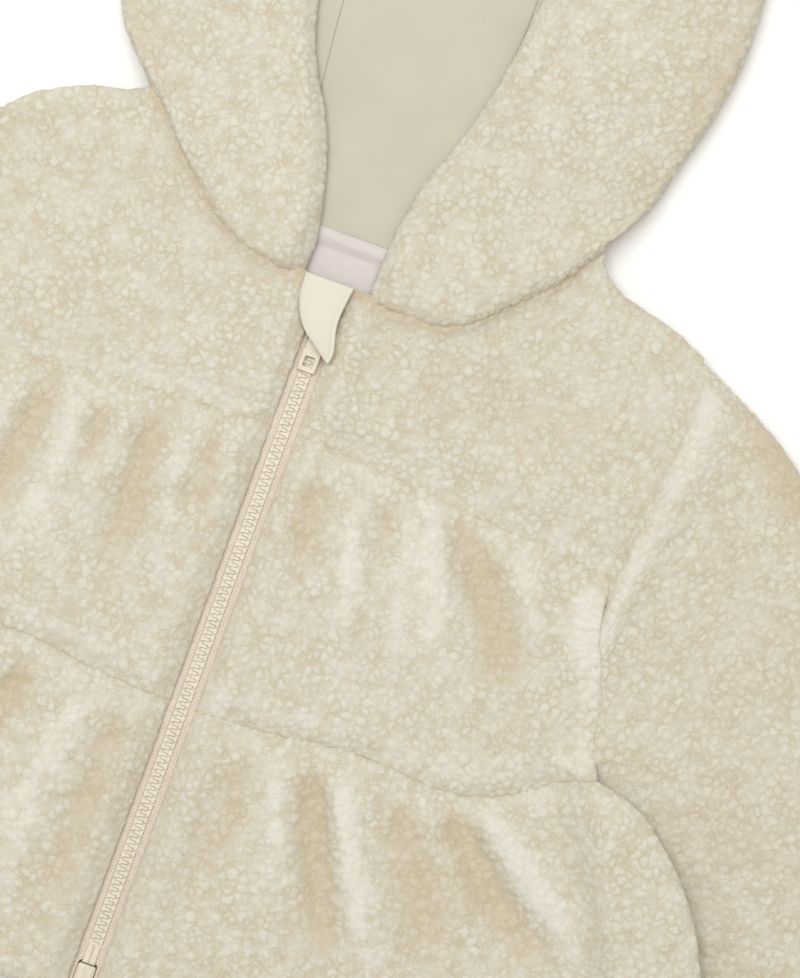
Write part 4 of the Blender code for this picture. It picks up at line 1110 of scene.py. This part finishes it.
def sleeveTop(share, reach):
    # The upper side: a roll beside the armhole, a swell over the upper arm and a low start at the seam.
    full, falls, fall = sleeveCut["capReach"]
    bulge = np.sin(np.pi * share)
    cap = sleeveCut["capRoll"] * softStep(reach / full) * (1 - softStep((reach - falls) / fall))
    cap = cap * (0.35 + 0.65 * bulge) + sleeveCut["swell"] * bulge * (1 - share)
    return sleeveCut["height"] + cap - sleeveCut["startDrop"] * (1 - softStep(reach / sleeveCut["startReach"]))


def sleevePaintedShading(points, steps, armAway):
    # Painted highlight on the roll, painted shade at the seam, a little down the arm and where the arm lies by
    # the body.
    share, part, _ = steps
    tone = sum(hump(armAway, *sleeveCut[key]) for key in ("capHighlight", "seamPaintedShading")) * (part == ringTop)
    tone = tone + strayTone(points, *sleeveCut["stray"])
    tone = tone - sleeveCut["armShade"] * softStep((armAway - 14) / 50)
    outerAway = 1 - np.clip(share / sleeveCut["bodyShareWide"], 0, 1)
    beside = outerAway * softStep((armAway - 14) / 18) * (1 - softStep((armAway - 60) / 40))
    return tone - sleeveCut["bodyShade"] * (part != ringUnder) * (part != ringInner) * beside


def makeSleeve(side, name):
    # A ring of points for each step down the arm. Past the cuff the rings turn in and run back up as the
    # inside.
    armhole = np.concatenate([linePoints(cut["yokeArmhole"], 9), sleeveCut["armholeEnd"]])
    lines = (smoothLine(armhole + (sleeveCut["offBody"], 0)),
             straightLine(sleeveCut["outer"][-1], sleeveCut["inner"][-1]),
             smoothLine(sleeveCut["outer"]), smoothLine(sleeveCut["tucked"]))
    steps = sleeveSteps()
    along = gridShares(sleeveCut["length"], cloth["frontSpacing"])
    width = apart(lines[2](along), lines[3](along))
    half = sleeveCut["height"] / 2
    plan, across, reach, up = sleeveRings(lines, steps, along, width[:, None], half, 0)
    cuffAway = (1 - along[:, None]) * sleeveCut["length"]
    height = half + (up * sleeveTop(across, reach) - half) * rounded(cuffAway, *sleeveCut["cuffEdge"])
    outside = raised(plan, height) * (side, 1, 1)

    back = np.linspace(1, 0, sleeveCut["insideSteps"])
    backWidth = np.interp(back, along, width)[:, None]
    plan, _, _, up = sleeveRings(lines, steps, back, backWidth, sleeveCut["slit"] / 2, cloth["wall"])
    inside = raised(plan, sleeveCut["lowerWall"] + sleeveCut["slit"] * up) * (side, 1, 1)

    wrapped = np.concatenate([outside[:, -1:], outside, outside[:, :1]], axis=1)
    armAway = apart(outside[..., :2], outside[:1, :, :2])
    seamNear = bell(armAway, sleeveCut["seamWidth"])
    lifted = raisePile(outside, gridNormals(wrapped)[:, 1:-1] * -side, np.ones(outside.shape[:2]), seamNear)
    way = unit(outside[:1, :, :2] - outside[3:4, :, :2])
    lifted[..., :2] += sleeveCut["seamReach"] * pile["seamReach"] * seamNear[..., None] * way
    lifted[..., 2] = np.maximum(lifted[..., 2], 0)
    faces = [wrappedFaces(len(outside) + len(inside), outside.shape[1])]
    if side > 0:
        faces = turnedRound(faces)
    rests = np.concatenate([outside, inside]).reshape(-1, 3)
    tone = np.concatenate([sleevePaintedShading(outside, steps, armAway), np.zeros(inside.shape[:2])]).ravel()
    points = np.concatenate([lifted, inside])
    piece = putMesh("sleeve" + name, points, faces, fleece, {"rest": rests, "fold": tone})
    dress(piece, nodeOf("sleeve" + name))


makeSleeve(1, "Left")
makeSleeve(-1, "Right")
print("jacket: the sleeves are made")


# Hood

hood = {
    "low": 7.3,
    "height": 13.0,
    "length": 262.0,
    "width": 95.0,
    "foldSteps": 16,
    "backSteps": 24,
    "topY": 286.0,
    "peakY": 238.0,
    "backY": 55.2,
    "foldLeft": [neckSide, (104, 92), (112, 106), (117, 124), (122, 142), (127, 168), (128, 198), (122, 230),
                 (109, 256), (88, 274), hoodPeak],
    "foldRight": [neckSide, (110, 94), (120, 105), (126, 118), (129, 136), (131, 165), (130, 198), (124, 230),
                  (111, 256), (89, 274), hoodPeak],
    "openingLeft": [(15, 33.2), (15, 46), (16, 60), (21, 87), (26, 101), (32, 121), (36, 139), (39, 162),
                    (41, 188), (39.5, 212), (34.5, 234), (34.5, 258), openingTop],
    "openingRight": [(14, 33.2), (14.5, 54), (19, 73), (22.5, 85), (30, 101), (39.5, 118), (46.5, 138),
                     (50, 162), (49.5, 190), (44, 214), (35.5, 234), (34.5, 258), openingTop],
    "backSeam": [(30, 56.2), (34, 108), (38, 150), (38, 200), (37, 250), openingTop],
    "seamShare": 0.29,          # where the side's part of the back neck starts
    "closeFrom": 0.84,          # share of the length from which the two layers come together
    "edgeLines": (0, 0.004, 0.009, 0.016, 0.025, 0.035),  # shares of the first lines by the opening
    "edgeRoll": (8.0, 7.0, 2.6),    # each roll has its width, its distance from its edge and its height
    "neckRoll": (13.0, 12.0, 3.0),
    "peakRoll": (9.0, 8.0, 2.6),
    "swell": 1.4,
    "openingEdge": (8.5, 0.06),     # each edge has its rounding's radius and its height as a share
    "neckEdge": (3.4, 0.5),
    "sideEdge": (3.4, 0.45),
    "peakEdge": (5.0, 0.1),
    "seamWidth": 1.8,
    "stray": (15.0, 0.45, 9),
    # Painted shade beside the neck seam, and painted shade towards the hood's outer side from outerFrom on
    "neckShade": (3.5, 0.0, -0.6),
    "outerShade": 0.5,
    "outerFrom": 75.0,
}


def hoodHeight(neckAway, edgeAway, foldAway):
    # A roll at the opening's edge, one above the neck seam and a slow swell between.
    edgeRoll = hump(edgeAway, *hood["edgeRoll"])
    neckRoll = hump(neckAway, *hood["neckRoll"]) * softStep(edgeAway / 14)
    swell = hood["swell"] * softStep(edgeAway / 30) * softStep((foldAway - 4) / 20)
    return hood["height"] + edgeRoll + neckRoll + swell


def makeHoodSide(side, name):
    # Each row runs from the opening's edge over the top, round the fold and back underneath to the seam.
    # The inside has the same lines, every fourth of them.
    opening, fold, seam = hood["opening" + name], hood["fold" + name], hood["backSeam"]
    wall = cloth["wall"]
    backNeck = smoothLine(cut["backNeck"])(np.linspace(hood["seamShare"], 1, 9))
    front = (smoothLine(cut["frontNeck" + name]), straightLine(opening[-1], fold[-1]),
             smoothLine(opening), smoothLine(fold))
    back = smoothLine(backNeck), straightLine(seam[-1], fold[-1]), smoothLine(seam), smoothLine(fold)
    along = gridShares(hood["length"], cloth["frontSpacing"])
    t = along[:, None]
    width = apart(front[2](along), front[3](along))[:, None]
    backWidth = np.maximum(apart(back[2](along), back[3](along))[:, None], 1)
    closing = softStep((t - hood["closeFrom"]) / (1 - hood["closeFrom"]))
    low = hood["low"] - (hood["low"] - wall - 0.4) * closing

    # The flat part
    flatCount = 4 * round(hood["width"] / cloth["frontSpacing"] / 4) + 1
    edgeLines = hood["edgeLines"]
    u = np.concatenate([edgeLines[:-1], np.linspace(edgeLines[-1], 1, flatCount - len(edgeLines) + 1)])
    half = hood["height"] / 2
    across = u[None] * (1 - (half + 1.5) / width)
    flatPlan = patch(*front, across, np.repeat(t, flatCount, axis=1))
    edgeAway, foldAway, neckAway = (apart(flatPlan, line)
                                    for line in (front[2](t), front[3](t), front[0](across)))
    top = hoodHeight(neckAway, edgeAway, foldAway) - hood["low"]
    topAway = (1 - t) * hood["length"]
    share = (rounded(edgeAway, *hood["openingEdge"]) * rounded(neckAway, *hood["neckEdge"])
             * rounded(topAway, *hood["sideEdge"]))
    flatTop = low + top * share

    # The fold and the back
    foldCount, backCount = hood["foldSteps"], hood["backSteps"]
    turn = np.radians(np.linspace(90, -90, foldCount + 2))[None, 1:-1]
    mix = (1 + np.sin(turn))[..., None] / 2
    tFold = np.repeat(t, foldCount, axis=1)

    def foldPlan(radius, inset):
        # Round the fold: the front's plan above, mixed into the back's below.
        off = inset + radius * (1 - np.cos(turn))
        return (mix * patch(*front, 1 - off / width, tFold)
                + (1 - mix) * patch(*back, np.clip(1 - off / backWidth, 0, 1), tFold))

    radius = flatTop[:, -1:] / 2
    slit = (low - wall) / 2
    reach = radius + 1 + (backWidth - radius - 1) * np.linspace(0, 1, backCount)[None]
    backPlan = patch(*back, np.clip(1 - reach / backWidth, 0, 1), np.repeat(t, backCount, axis=1))
    foldOver = raised(foldPlan(radius, 0), radius + radius * np.sin(turn))
    foldInner = raised(foldPlan(slit, min(wall, half - 0.8)), wall + slit + slit * np.sin(turn))
    over = np.concatenate([raised(flatPlan, flatTop), foldOver, raised(backPlan, 0)], axis=1) * (side, 1, 1)
    inner = np.concatenate([raised(flatPlan, low), foldInner, raised(backPlan, wall)], axis=1) * (side, 1, 1)

    # The pile
    amount = np.ones(over.shape[:2])
    amount[:, :flatCount] = 0.5 + 0.5 * share
    amount[:, flatCount + foldCount:] = 0
    neckNear, topNear = (apart(over[..., :2], over[row, :, :2]) for row in (slice(0, 1), slice(-1, None)))
    seamNear = bell(np.minimum(neckNear, topNear), hood["seamWidth"])
    lifted = raisePile(over, gridNormals(over) * side, amount, seamNear)
    flatPlan = flatPlan * (side, 1)
    lifted[:, :flatCount] = overEdges(lifted[:, :flatCount], flatPlan, edgeDistances(flatPlan),
                                      edgeReaches(("opening", "fold", "neck", "top")))
    lifted[..., 2] = np.maximum(lifted[..., 2], 0)
    # Random tone, with painted shade by the neck seam and towards the hood's outer side
    tone = strayTone(over, *hood["stray"]) + hump(neckNear, *hood["neckShade"])
    tone = tone - hood["outerShade"] * softStep((np.abs(over[..., 0]) - hood["outerFrom"]) / 50)
    piece = shell("hoodSide" + name, lifted, inner[::4, ::4], fleece, side < 0, over, tone)
    dress(piece, nodeOf("hoodSide" + name))


def makeHoodCentre():
    # The centre panel: up the hood's back, round the fold at the top and over to its peak. Its inside
    # starts one step higher.
    half = hood["height"] / 2 - 0.6
    endY = hood["topY"] - half - 3
    seam = linePoints(hood["backSeam"], 60)
    opening = linePoints(hood["openingLeft"], 120)
    opening = opening[opening[:, 1] > hood["peakY"] - 12]
    share = gridShares(70, cloth["frontSpacing"]) * 2 - 1
    angles = np.radians(np.linspace(-90, 90, 17))[1:-1]
    backY = np.linspace(hood["backY"], endY, 34)
    frontY = endY - gridShares(endY - hood["peakY"], cloth["frontSpacing"]) * (endY - hood["peakY"])
    backCount = len(backY) - 1
    y = np.concatenate([backY[:1], backY[2:], hood["topY"] - half + half * np.cos(angles), frontY])
    z = np.concatenate([np.zeros(backCount), half + half * np.sin(angles), np.full(len(frontY), 2 * half)])
    lowY = np.concatenate([backY[1:], hood["topY"] - half - 1 + 1.15 * np.cos(angles), frontY])
    low = np.concatenate([np.full(backCount, cloth["wall"]), 6.0 + 1.3 * np.sin(angles),
                          np.full(len(frontY), hood["low"])])
    onTop = np.arange(len(y)) >= backCount + 8
    reach = np.where(onTop, np.interp(y, opening[:, 1], opening[:, 0]), np.interp(y, seam[:, 1], seam[:, 0]))
    bow = np.where(onTop, -3.0 * softStep((hood["peakY"] + 16 - y) / 16), 1.2 * (1 - softStep((y - 56) / 20)))
    grid = np.stack([share[None] * reach[:, None], y[:, None] + bow[:, None] * share[None] ** 2,
                     np.repeat(z[:, None], len(share), 1)], -1)
    inner = grid.copy()
    inner[..., 1] += (lowY - y)[:, None]
    inner[..., 2] = low[:, None]
    fromStart, toEnd, _, toPeak = edgeDistances(grid)
    sideAway = np.minimum(fromStart, toEnd)
    upper = onTop[:, None] & (z[:, None] > half)
    edges = rounded(sideAway, *hood["sideEdge"]) * rounded(toPeak, *hood["peakEdge"])
    rise = hump(toPeak, *hood["peakRoll"])
    height = low[:, None] + (grid[..., 2] + rise - low[:, None]) * edges
    grid[..., 2] = np.where(upper, height, grid[..., 2])
    amount = np.where(upper, 0.45 + 0.55 * edges, 0.6 * (z[:, None] > 0.01))
    lifted = raisePile(grid, -gridNormals(grid), amount, bell(sideAway, hood["seamWidth"]))
    lifted[..., 0] += pile["seamReach"] * bell(sideAway, pile["seamWidth"]) * np.sign(share)[None]
    lifted[..., 2] = np.maximum(lifted[..., 2], 0)
    piece = shell("hoodCentre", lifted, inner[::4, ::4], fleece, True, grid, 0 * sideAway)
    dress(piece, "hood_centre")


makeHoodSide(1, "Left")
makeHoodSide(-1, "Right")
makeHoodCentre()
print("jacket: the hood is made")


# Lining and neck

lining = {
    "low": 5.3,
    "thick": 1.0,
    "reach": 13.0,
    "overSeam": 6.0,
    "seamGap": 0.02,
    "seamShare": 0.79,
    "sideShares": (0.14, 0.80),
    "spacing": 1.5,
    "length": 180.0,
    "underLabel": 4.0,
    "rollRadius": 1.3,
    "rollLow": 0.62,
    "wave": 0.8,
    "waveSize": 17.0,
}


def clothShell(name, node, plan, under, thick, material, turned, radius=0.9,
               edgeLow=0.25):
    # A thin cloth: its top stands its thickness over its underside, less where it rolls off at its edges.
    share = np.ones(plan.shape[:2])
    for distance in edgeDistances(plan):
        share *= rounded(distance, radius, edgeLow)
    over = raised(plan, under + thick * share)
    piece = shell(name, over, raised(plan, under)[::4, ::4], material, turned, over, 0 * share)
    dress(piece, node)


def liningPanel(name, node, plan, side, salt):
    # The cotton has slow waves that run up it.
    stretched = raised(plan * (1.6, 0.35), 0)
    thick = lining["thick"] + lining["wave"] * (smoothNoise(stretched, lining["waveSize"], salt) - 0.5)
    clothShell(name, node, plan * (side, 1), lining["low"], thick, liningCotton, side < 0,
               lining["rollRadius"], lining["rollLow"])


def makeLining():
    # A middle panel between the back seams and a panel on each side of it, with a soft groove at each seam.
    shares = gridShares(lining["length"], lining["spacing"])
    seam = smoothLine(hood["backSeam"])(shares * lining["seamShare"])
    seamX, seamUp = seam[:, :1], seam[:, 1:]
    s, t = np.meshgrid(gridShares(66, lining["spacing"]), shares)
    plan = np.stack([(2 * s - 1) * (seamX - lining["seamGap"]), np.repeat(seamUp, s.shape[1], 1)], -1)
    plan[..., 1] -= lining["underLabel"] * (1 - t) ** 6  # it goes on under the label
    liningPanel("hoodLiningMiddle", "hood_lining_centre", plan, 1, 21)
    for side, name in ((1, "Left"), (-1, "Right")):
        start, end = lining["sideShares"]
        edge = smoothLine(hood["opening" + name])(start + shares * (end - start))
        reach = np.maximum(edge[:, :1] + lining["reach"], seamX + lining["overSeam"])
        s, t = np.meshgrid(gridShares(16, 1.0), shares)
        inner = seamX + lining["seamGap"]
        plan = np.stack([inner + (reach - inner) * s, np.repeat(seamUp, s.shape[1], 1)], -1)
        liningPanel("hoodLiningSide" + name, nodeOf("hoodLiningSide" + name), plan, side, 25)


labelCut = {
    "left": -14.9,
    "right": 16.0,
    "low": 25.0,
    "high": 54.8,
    "thick": 0.55,
    "overLining": 1.1,
    "liningY": 46.0,
    "stitchIn": 1.3,
    "stitchPitch": 1.5,
    "stitchDepth": 0.22,
    "stitchWidth": 0.3,
}


def makeLabel():
    # A bare satin label. Its top end lies over the lining's lower edge, and a row of stitches runs round it.
    label = labelCut
    width, length = label["right"] - label["left"], label["high"] - label["low"]
    s, t = np.meshgrid(gridShares(width, 0.42), gridShares(length, 0.42))
    plan = np.stack([label["left"] + width * s, label["low"] + length * t], -1)
    under = lining["low"] + 0.08 + label["overLining"] * softStep((plan[..., 1] - label["liningY"]) / 5)
    away = np.min(edgeDistances(plan), axis=0)
    along = np.where((s * width < 2) | ((1 - s) * width < 2), plan[..., 1], plan[..., 0])
    stitch = 0.5 + 0.5 * np.cos(2 * np.pi * along / label["stitchPitch"])
    dip = label["stitchDepth"] * bell(away, label["stitchWidth"], label["stitchIn"]) * stitch
    clothShell("neckLabel", "neck_label", plan, under, label["thick"] - dip, labelSatin, False,
               radius=0.5)


guardCut = {
    "leftEdge": [(-13.3, 34.3), (-12.6, 25), (-9.9, 17.2), (-6.3, 12), (-3.6, 9.4), (0, 6.8), (3.9, 3.9),
                 (7.6, 1.2)],
    "rightEdge": [(8.0, 34.3), (6.8, 24.9), (6.7, 17.4), (7.9, 11.6), (9.2, 6.6), (9.2, 3.6), (8.5, 1.0)],
    "low": 13.6,
    "arch": 0.7,             # its underside's rise over the slider
    "tipLift": 1.5,
    "thick": 1.25,
    "edgeThick": 0.72,       # as a share of the thickness
    "piping": (0.4, 0.55, 0.35),   # width, distance from the edge and height
    "groove": (0.4, 1.7, -0.30),
    "stray": (8.0, 0.25, 77),
}


def makeGuard():
    # A leaf of folded cotton from the neck seam over the slider. A fine rolled edge runs round it, with a
    # groove inside it, and its middle is slightly padded.
    guard = guardCut
    start, end = smoothLine(guard["leftEdge"][::-1]), smoothLine(guard["rightEdge"][::-1])
    s, t = np.meshgrid(gridShares(19, 0.4), gridShares(38, 0.4))
    plan = patch(joinEnds(start, end, 0.0), joinEnds(start, end, 1.0), start, end, s, t)
    x, y = plan[..., 0], plan[..., 1]
    arch = guard["arch"] * bell(x, 7, zipper["middleX"]) * bell(y, 9, 13)
    under = guard["low"] + arch + guard["tipLift"] * softStep((14 - y) / 12)
    fromStart, toEnd, _, _ = edgeDistances(plan)
    away = np.minimum(fromStart, toEnd)
    thick = guard["thick"] * (guard["edgeThick"] + (1 - guard["edgeThick"]) * softStep(away / 5))
    thick = thick + hump(away, *guard["piping"]) + hump(away, *guard["groove"])
    thick = thick + strayTone(raised(plan, 0), *guard["stray"])
    clothShell("chinGuard", "chin_guard", plan, under, thick, guardCotton, False,
               0.55)


makeLining()
makeLabel()
makeGuard()
print("jacket: the lining, label and guard are made")


# Zip

teeth = {
    "outline": [(0, -1.18), (1.3, -1.18), (1.8, -0.6), (2.1, -0.72), (3.3, -0.72), (3.9, -0.4),
                (3.9, 0.4), (3.3, 0.72), (2.1, 0.72), (1.8, 0.6), (1.3, 1.18), (0, 1.18)],
    "rings": [(0.0, 0.7), (0.0, 2.3), (0.06, 2.46), (0.2, 2.56)],  # inset and height of each
    "bedThick": 1.85,
    "pinRings": [(0.1, 0.4), (0, 0.7), (0, 2.1), (0.2, 2.4), (0.5, 2.5)],
}


def ringsOver(outline, rings):
    # An outline at several heights, drawn in along its own normals by each ring's inset.
    outline = np.array(outline, float)
    way = np.roll(outline, -1, axis=0) - np.roll(outline, 1, axis=0)
    inward = np.stack([-way[:, 1], way[:, 0]], -1) / np.linalg.norm(way, axis=-1, keepdims=True)
    return np.stack([raised(outline + inset * inward, height) for inset, height in rings])


def ringFaces(rings, count, first=0):
    number = gridNumbers(rings, count, first)
    beside = np.roll(number, -1, axis=1)
    sides = np.stack([number[:-1], beside[:-1], beside[1:], number[1:]], -1).reshape(-1, 4)
    return sides, number[0][::-1][None], number[-1][None]


def manyPucks(name, shapes):
    # Each shape is (rings, count, 3) with its outline counter-clockwise; all become one mesh.
    points, sides, caps, first = [], [], {}, 0
    for shape in shapes:
        rings, count = shape.shape[:2]
        side, low, high = ringFaces(rings, count, first)
        points.append(shape.reshape(-1, 3))
        sides.append(side)
        caps.setdefault(count, []).extend([low, high])
        first += rings * count
    groups = [np.concatenate(sides)] + [np.concatenate(group) for group in caps.values()]
    return putMesh(name, np.concatenate(points), groups, zipPlastic, smooth=False)


def roundedBox(lowX, highX, lowY, highY, corner, rings, count=5):
    quarters = [np.linspace(start, start + 90, count) for start in (-180, -90, 0, 90)]
    angles = np.radians(np.concatenate(quarters))
    middles = np.repeat([(lowX, lowY), (highX, lowY), (highX, highY), (lowX, highY)], count, axis=0)
    inward = np.repeat([(1, 1), (-1, 1), (-1, -1), (1, -1)], count, axis=0)
    outline = middles + corner * inward + corner * np.stack([np.cos(angles), np.sin(angles)], -1)
    return ringsOver(outline, rings)


def makeTeeth():
    # Two rows of teeth that interlock, the pin's two halves below them, and a bed between the tapes.
    middle, half, low = zipper["middleX"], zipper["chainHalf"], zipper["chainLow"]
    pinLow, pinHigh = zipper["lowY"] + 0.1, zipper["teethLowY"] + 0.4
    tooth = ringsOver(teeth["outline"], teeth["rings"])
    shapes, pins = [], []
    for side in (1, -1):
        one = tooth.copy()
        one[..., 0] = side * (half - tooth[..., 0])
        if side > 0:
            one = one[:, ::-1]
        top = zipper["teethTopY"] - (side > 0) * zipper["toothPitch"] / 2
        places = np.arange(top, zipper["teethLowY"] + 1, -zipper["toothPitch"])
        shapes += [one + (middle, y, low) for y in places]
        near, far = sorted((side * 0.12, side * (half - 0.1)))
        rings = [(inset, low + height) for inset, height in teeth["pinRings"]]
        pins.append(roundedBox(middle + near, middle + far, pinLow, pinHigh, 0.5, rings))
    bed = roundedBox(middle - half - 0.1, middle + half + 0.1, pinLow, zipper["teethTopY"], 0.3,
                     [(0, low), (0, low + teeth["bedThick"])], 2)
    dress(manyPucks("zipTeeth", shapes + pins + [bed]), "zip_chain")


tapeShape = {
    "chainGap": 0.12,
    "sliderRecess": 1.0,   # how far the inner edge stands back beside the slider,
    "sliderY": 6.4,
    "boxRecess": 1.2,      # and beside the box
    "cord": (0.45, 0.5, 0.22),   # width, distance from the edge and height
    "ribPitch": 1.26,
    "ribDepth": 0.26,
    "ribSlant": 0.25,
}


def makeTapes():
    # A woven strip with ribs across it, and a cord along the edge that holds the teeth.
    form = tapeShape
    middle = zipper["chainLow"] + zipper["chainThick"] / 2
    half = zipper["tapeThick"] / 2
    for side, name in ((1, "Left"), (-1, "Right")):
        s, t = np.meshgrid(gridShares(10.8, 1.2), gridShares(299.5, 0.42))
        y = zipper["tapeLowY"] + t * (zipper["tapeTopY"] - zipper["tapeLowY"])
        inner = (zipper["chainHalf"] + form["chainGap"]
                 + form["sliderRecess"] * softStep((y - form["sliderY"]) / 2.4)
                 + form["boxRecess"] * softStep((zipper["lowY"] + 1.2 - y) / 1.0))
        x = inner + (zipper["tapeHalf"] - inner) * s
        away = x - inner
        cord = bell(away, *form["cord"][:2])
        zigzag = form["ribSlant"] * np.abs(np.mod(x, 3.0) - 1.5)
        ribs = 0.5 * np.cos(2 * np.pi * (y + zigzag) / form["ribPitch"])
        ribs = form["ribDepth"] * ribs * (1 - 0.6 * cord) * rounded(away, 0.8, 0.0)
        plan = np.stack([zipper["middleX"] + side * x, y], -1)
        top = raised(plan, middle + half + form["cord"][2] * cord + ribs)
        low = raised(plan, middle - half)[::4, ::4]
        piece = shell("zipTape" + name, top, low, zipTapeWeave, side < 0, top, 0 * s)
        dress(piece, nodeOf("zipTape" + name))


boxShape = {
    "halfX": 3.9,
    "topY": -268.3,
    "length": 9.4,
    "low": 5.3,
    "high": 9.9,
    "corner": 1.2,
    "blockRings": [(0.0, -0.9), (0.25, -0.5), (0.8, -0.3)],  # inset, and height from the highest
    "ridgeRings": [(0.0, -0.6), (0.0, -0.15), (0.15, 0), (0.4, 0.05)],
    "ridgeIn": 0.9,
    "slotHalf": 0.5,
}


def makeBox():
    # The socket at the zip's lower end: a rounded block with two ridges over it and a slot between them.
    box = boxShape
    low, high = box["topY"] - box["length"], box["topY"]
    middle, inset = zipper["middleX"], box["ridgeIn"]
    block, ridge = ([(inward, box["high"] + height) for inward, height in box[key]]
                    for key in ("blockRings", "ridgeRings"))
    foot = [(0.5, box["low"]), (0.0, box["low"] + 0.5)]
    left, right = middle - box["halfX"], middle + box["halfX"]
    shapes = [roundedBox(left, right, low, high, box["corner"], foot + block)]
    for side in (1, -1):
        near, far = sorted((middle + side * box["slotHalf"], middle + side * (box["halfX"] - inset)))
        shapes.append(roundedBox(near, far, low + inset, high - inset, 0.5, ridge, 4))
    dress(manyPucks("zipBox", shapes), "zip_bottom_box")


tabShape = {
    "hinge": (0.6, 13.0, 11.4),
    "droopDegrees": 3.8,
    "half": 3.85,
    "root": 0.65,
    "reach": 18.0,
    "neckY": -8.4,
    "neckIn": 0.35,
    "window": (-2.1, 2.1, -15.9, -11.5),
    "slot": (-1.55, 1.55, -4.4, -0.65),
    "thick": 1.3,
    "round": 0.22,
}


def frameRing(outer, inner, outerCorner, innerCorner, count=6):
    # A flat frame: its section runs round it, over the top, down inside, back underneath and up outside.
    half, soft = tabShape["thick"] / 2, tabShape["round"]
    outside, inside = (roundedBox(*box, corner, [(0.0, 0.0), (inset, 0.0)], count)[..., :2]
                       for box, corner, inset in ((outer, outerCorner, soft), (inner, innerCorner, -soft)))
    rows = [(outside[1], half), (inside[1], half), (inside[0], half - soft), (inside[0], soft - half),
            (inside[1], -half), (outside[1], -half), (outside[0], soft - half), (outside[0], half - soft)]
    return np.stack([raised(row, height) for row, height in rows])


def makeTab():
    # Two frames end to end: one round the slot for the slider's arch and one round the square window.
    tab = tabShape
    narrow = tab["half"] - tab["neckIn"]
    frames = [frameRing((-tab["half"], tab["half"], -tab["reach"], tab["neckY"]), tab["window"], 1.0, 0.35),
              frameRing((-narrow, narrow, tab["neckY"] - 0.5, tab["root"]), tab["slot"], 0.6, 0.5)]
    faces, first = [], 0
    for frame in frames:
        rows, count = frame.shape[:2]
        faces.append(wrappedFaces(rows, count, first))
        first += rows * count
    points = np.concatenate([frame.reshape(-1, 3) for frame in frames])
    turn = np.radians(tab["droopDegrees"])
    y, z = points[:, 1], points[:, 2]
    points = np.stack([points[:, 0], y * np.cos(turn) - z * np.sin(turn),
                       y * np.sin(turn) + z * np.cos(turn)], -1)
    piece = putMesh("pullTab", points + tab["hinge"], turnedRound(faces), zipPlastic, smooth=False)
    dress(piece, "zip_pull_tab", body="pull_tab")


def finishSlider():
    slider = bpy.data.objects["zip_slider"]
    slider.data.materials.clear()
    slider.data.materials.append(zipPlastic)


makeTeeth()
makeTapes()
makeBox()
makeTab()
finishSlider()
print("jacket: the zip is made")


# Floor, light and camera, in metres

studio = {
    "floorColour": (0.93, 0.93, 0.93),
    "floorHalf": 4.0,
    "floorDrop": 0.0006,
    "worldColour": (1.0, 0.955, 0.885),
    "worldStrength": 0.64,
    "keyColour": (0.97, 0.99, 1.0),
    "keyEnergy": 27.0,
    "keyPlace": (-0.33, 0.42, 1.85),
    "keySize": 1.5,
    "aim": (0.0545, -0.0373),
    "viewHeight": 0.4075,   # of what the picture shows
    "lens": 200.0,
    "turnDegrees": 20.14,
    "middleHeight": 0.010,
    "farthest": 20.0,
}


def makeFloor():
    half, low = studio["floorHalf"], -studio["floorDrop"]
    mesh = bpy.data.meshes.new("floor")
    corners = [(-half, -half, low), (half, -half, low), (half, half, low), (-half, half, low)]
    mesh.from_pydata(corners, [], [(0, 1, 2, 3)])
    floor = bpy.data.objects.new("floor", mesh)
    bpy.context.scene.collection.objects.link(floor)
    mesh.materials.append(newMaterial("paleFloor", studio["floorColour"], 0.9)[0])


def makeLight():
    world = bpy.data.worlds.new("softRoom")
    world.use_nodes = True
    background = world.node_tree.nodes["Background"]
    background.inputs["Color"].default_value = (*studio["worldColour"], 1)
    background.inputs["Strength"].default_value = studio["worldStrength"]
    bpy.context.scene.world = world
    light = bpy.data.lights.new("keyPanel", "AREA")
    light.energy = studio["keyEnergy"]
    light.color = studio["keyColour"]
    light.size = studio["keySize"]
    key = bpy.data.objects.new("keyPanel", light)
    bpy.context.scene.collection.objects.link(key)
    key.location = studio["keyPlace"]
    away = np.array(studio["keyPlace"]) - (*studio["aim"], 0)
    key.rotation_euler = (np.arctan2(np.hypot(away[0], away[1]), away[2]), 0, np.arctan2(away[0], -away[1]))


def makeCamera():
    # Straight down, and as far off as makes the picture this high.
    camera = bpy.data.cameras.new("camera")
    camera.lens = studio["lens"]
    camera.clip_end = studio["farthest"]
    eye = bpy.data.objects.new("camera", camera)
    bpy.context.scene.collection.objects.link(eye)
    distance = studio["lens"] / camera.sensor_width * studio["viewHeight"]
    eye.location = (*studio["aim"], distance + studio["middleHeight"])
    eye.rotation_euler = (0, 0, np.radians(studio["turnDegrees"]))
    bpy.context.scene.camera = eye


makeFloor()
makeLight()
makeCamera()
bpy.context.scene.view_settings.view_transform = "Standard"
print("jacket: the studio is made")
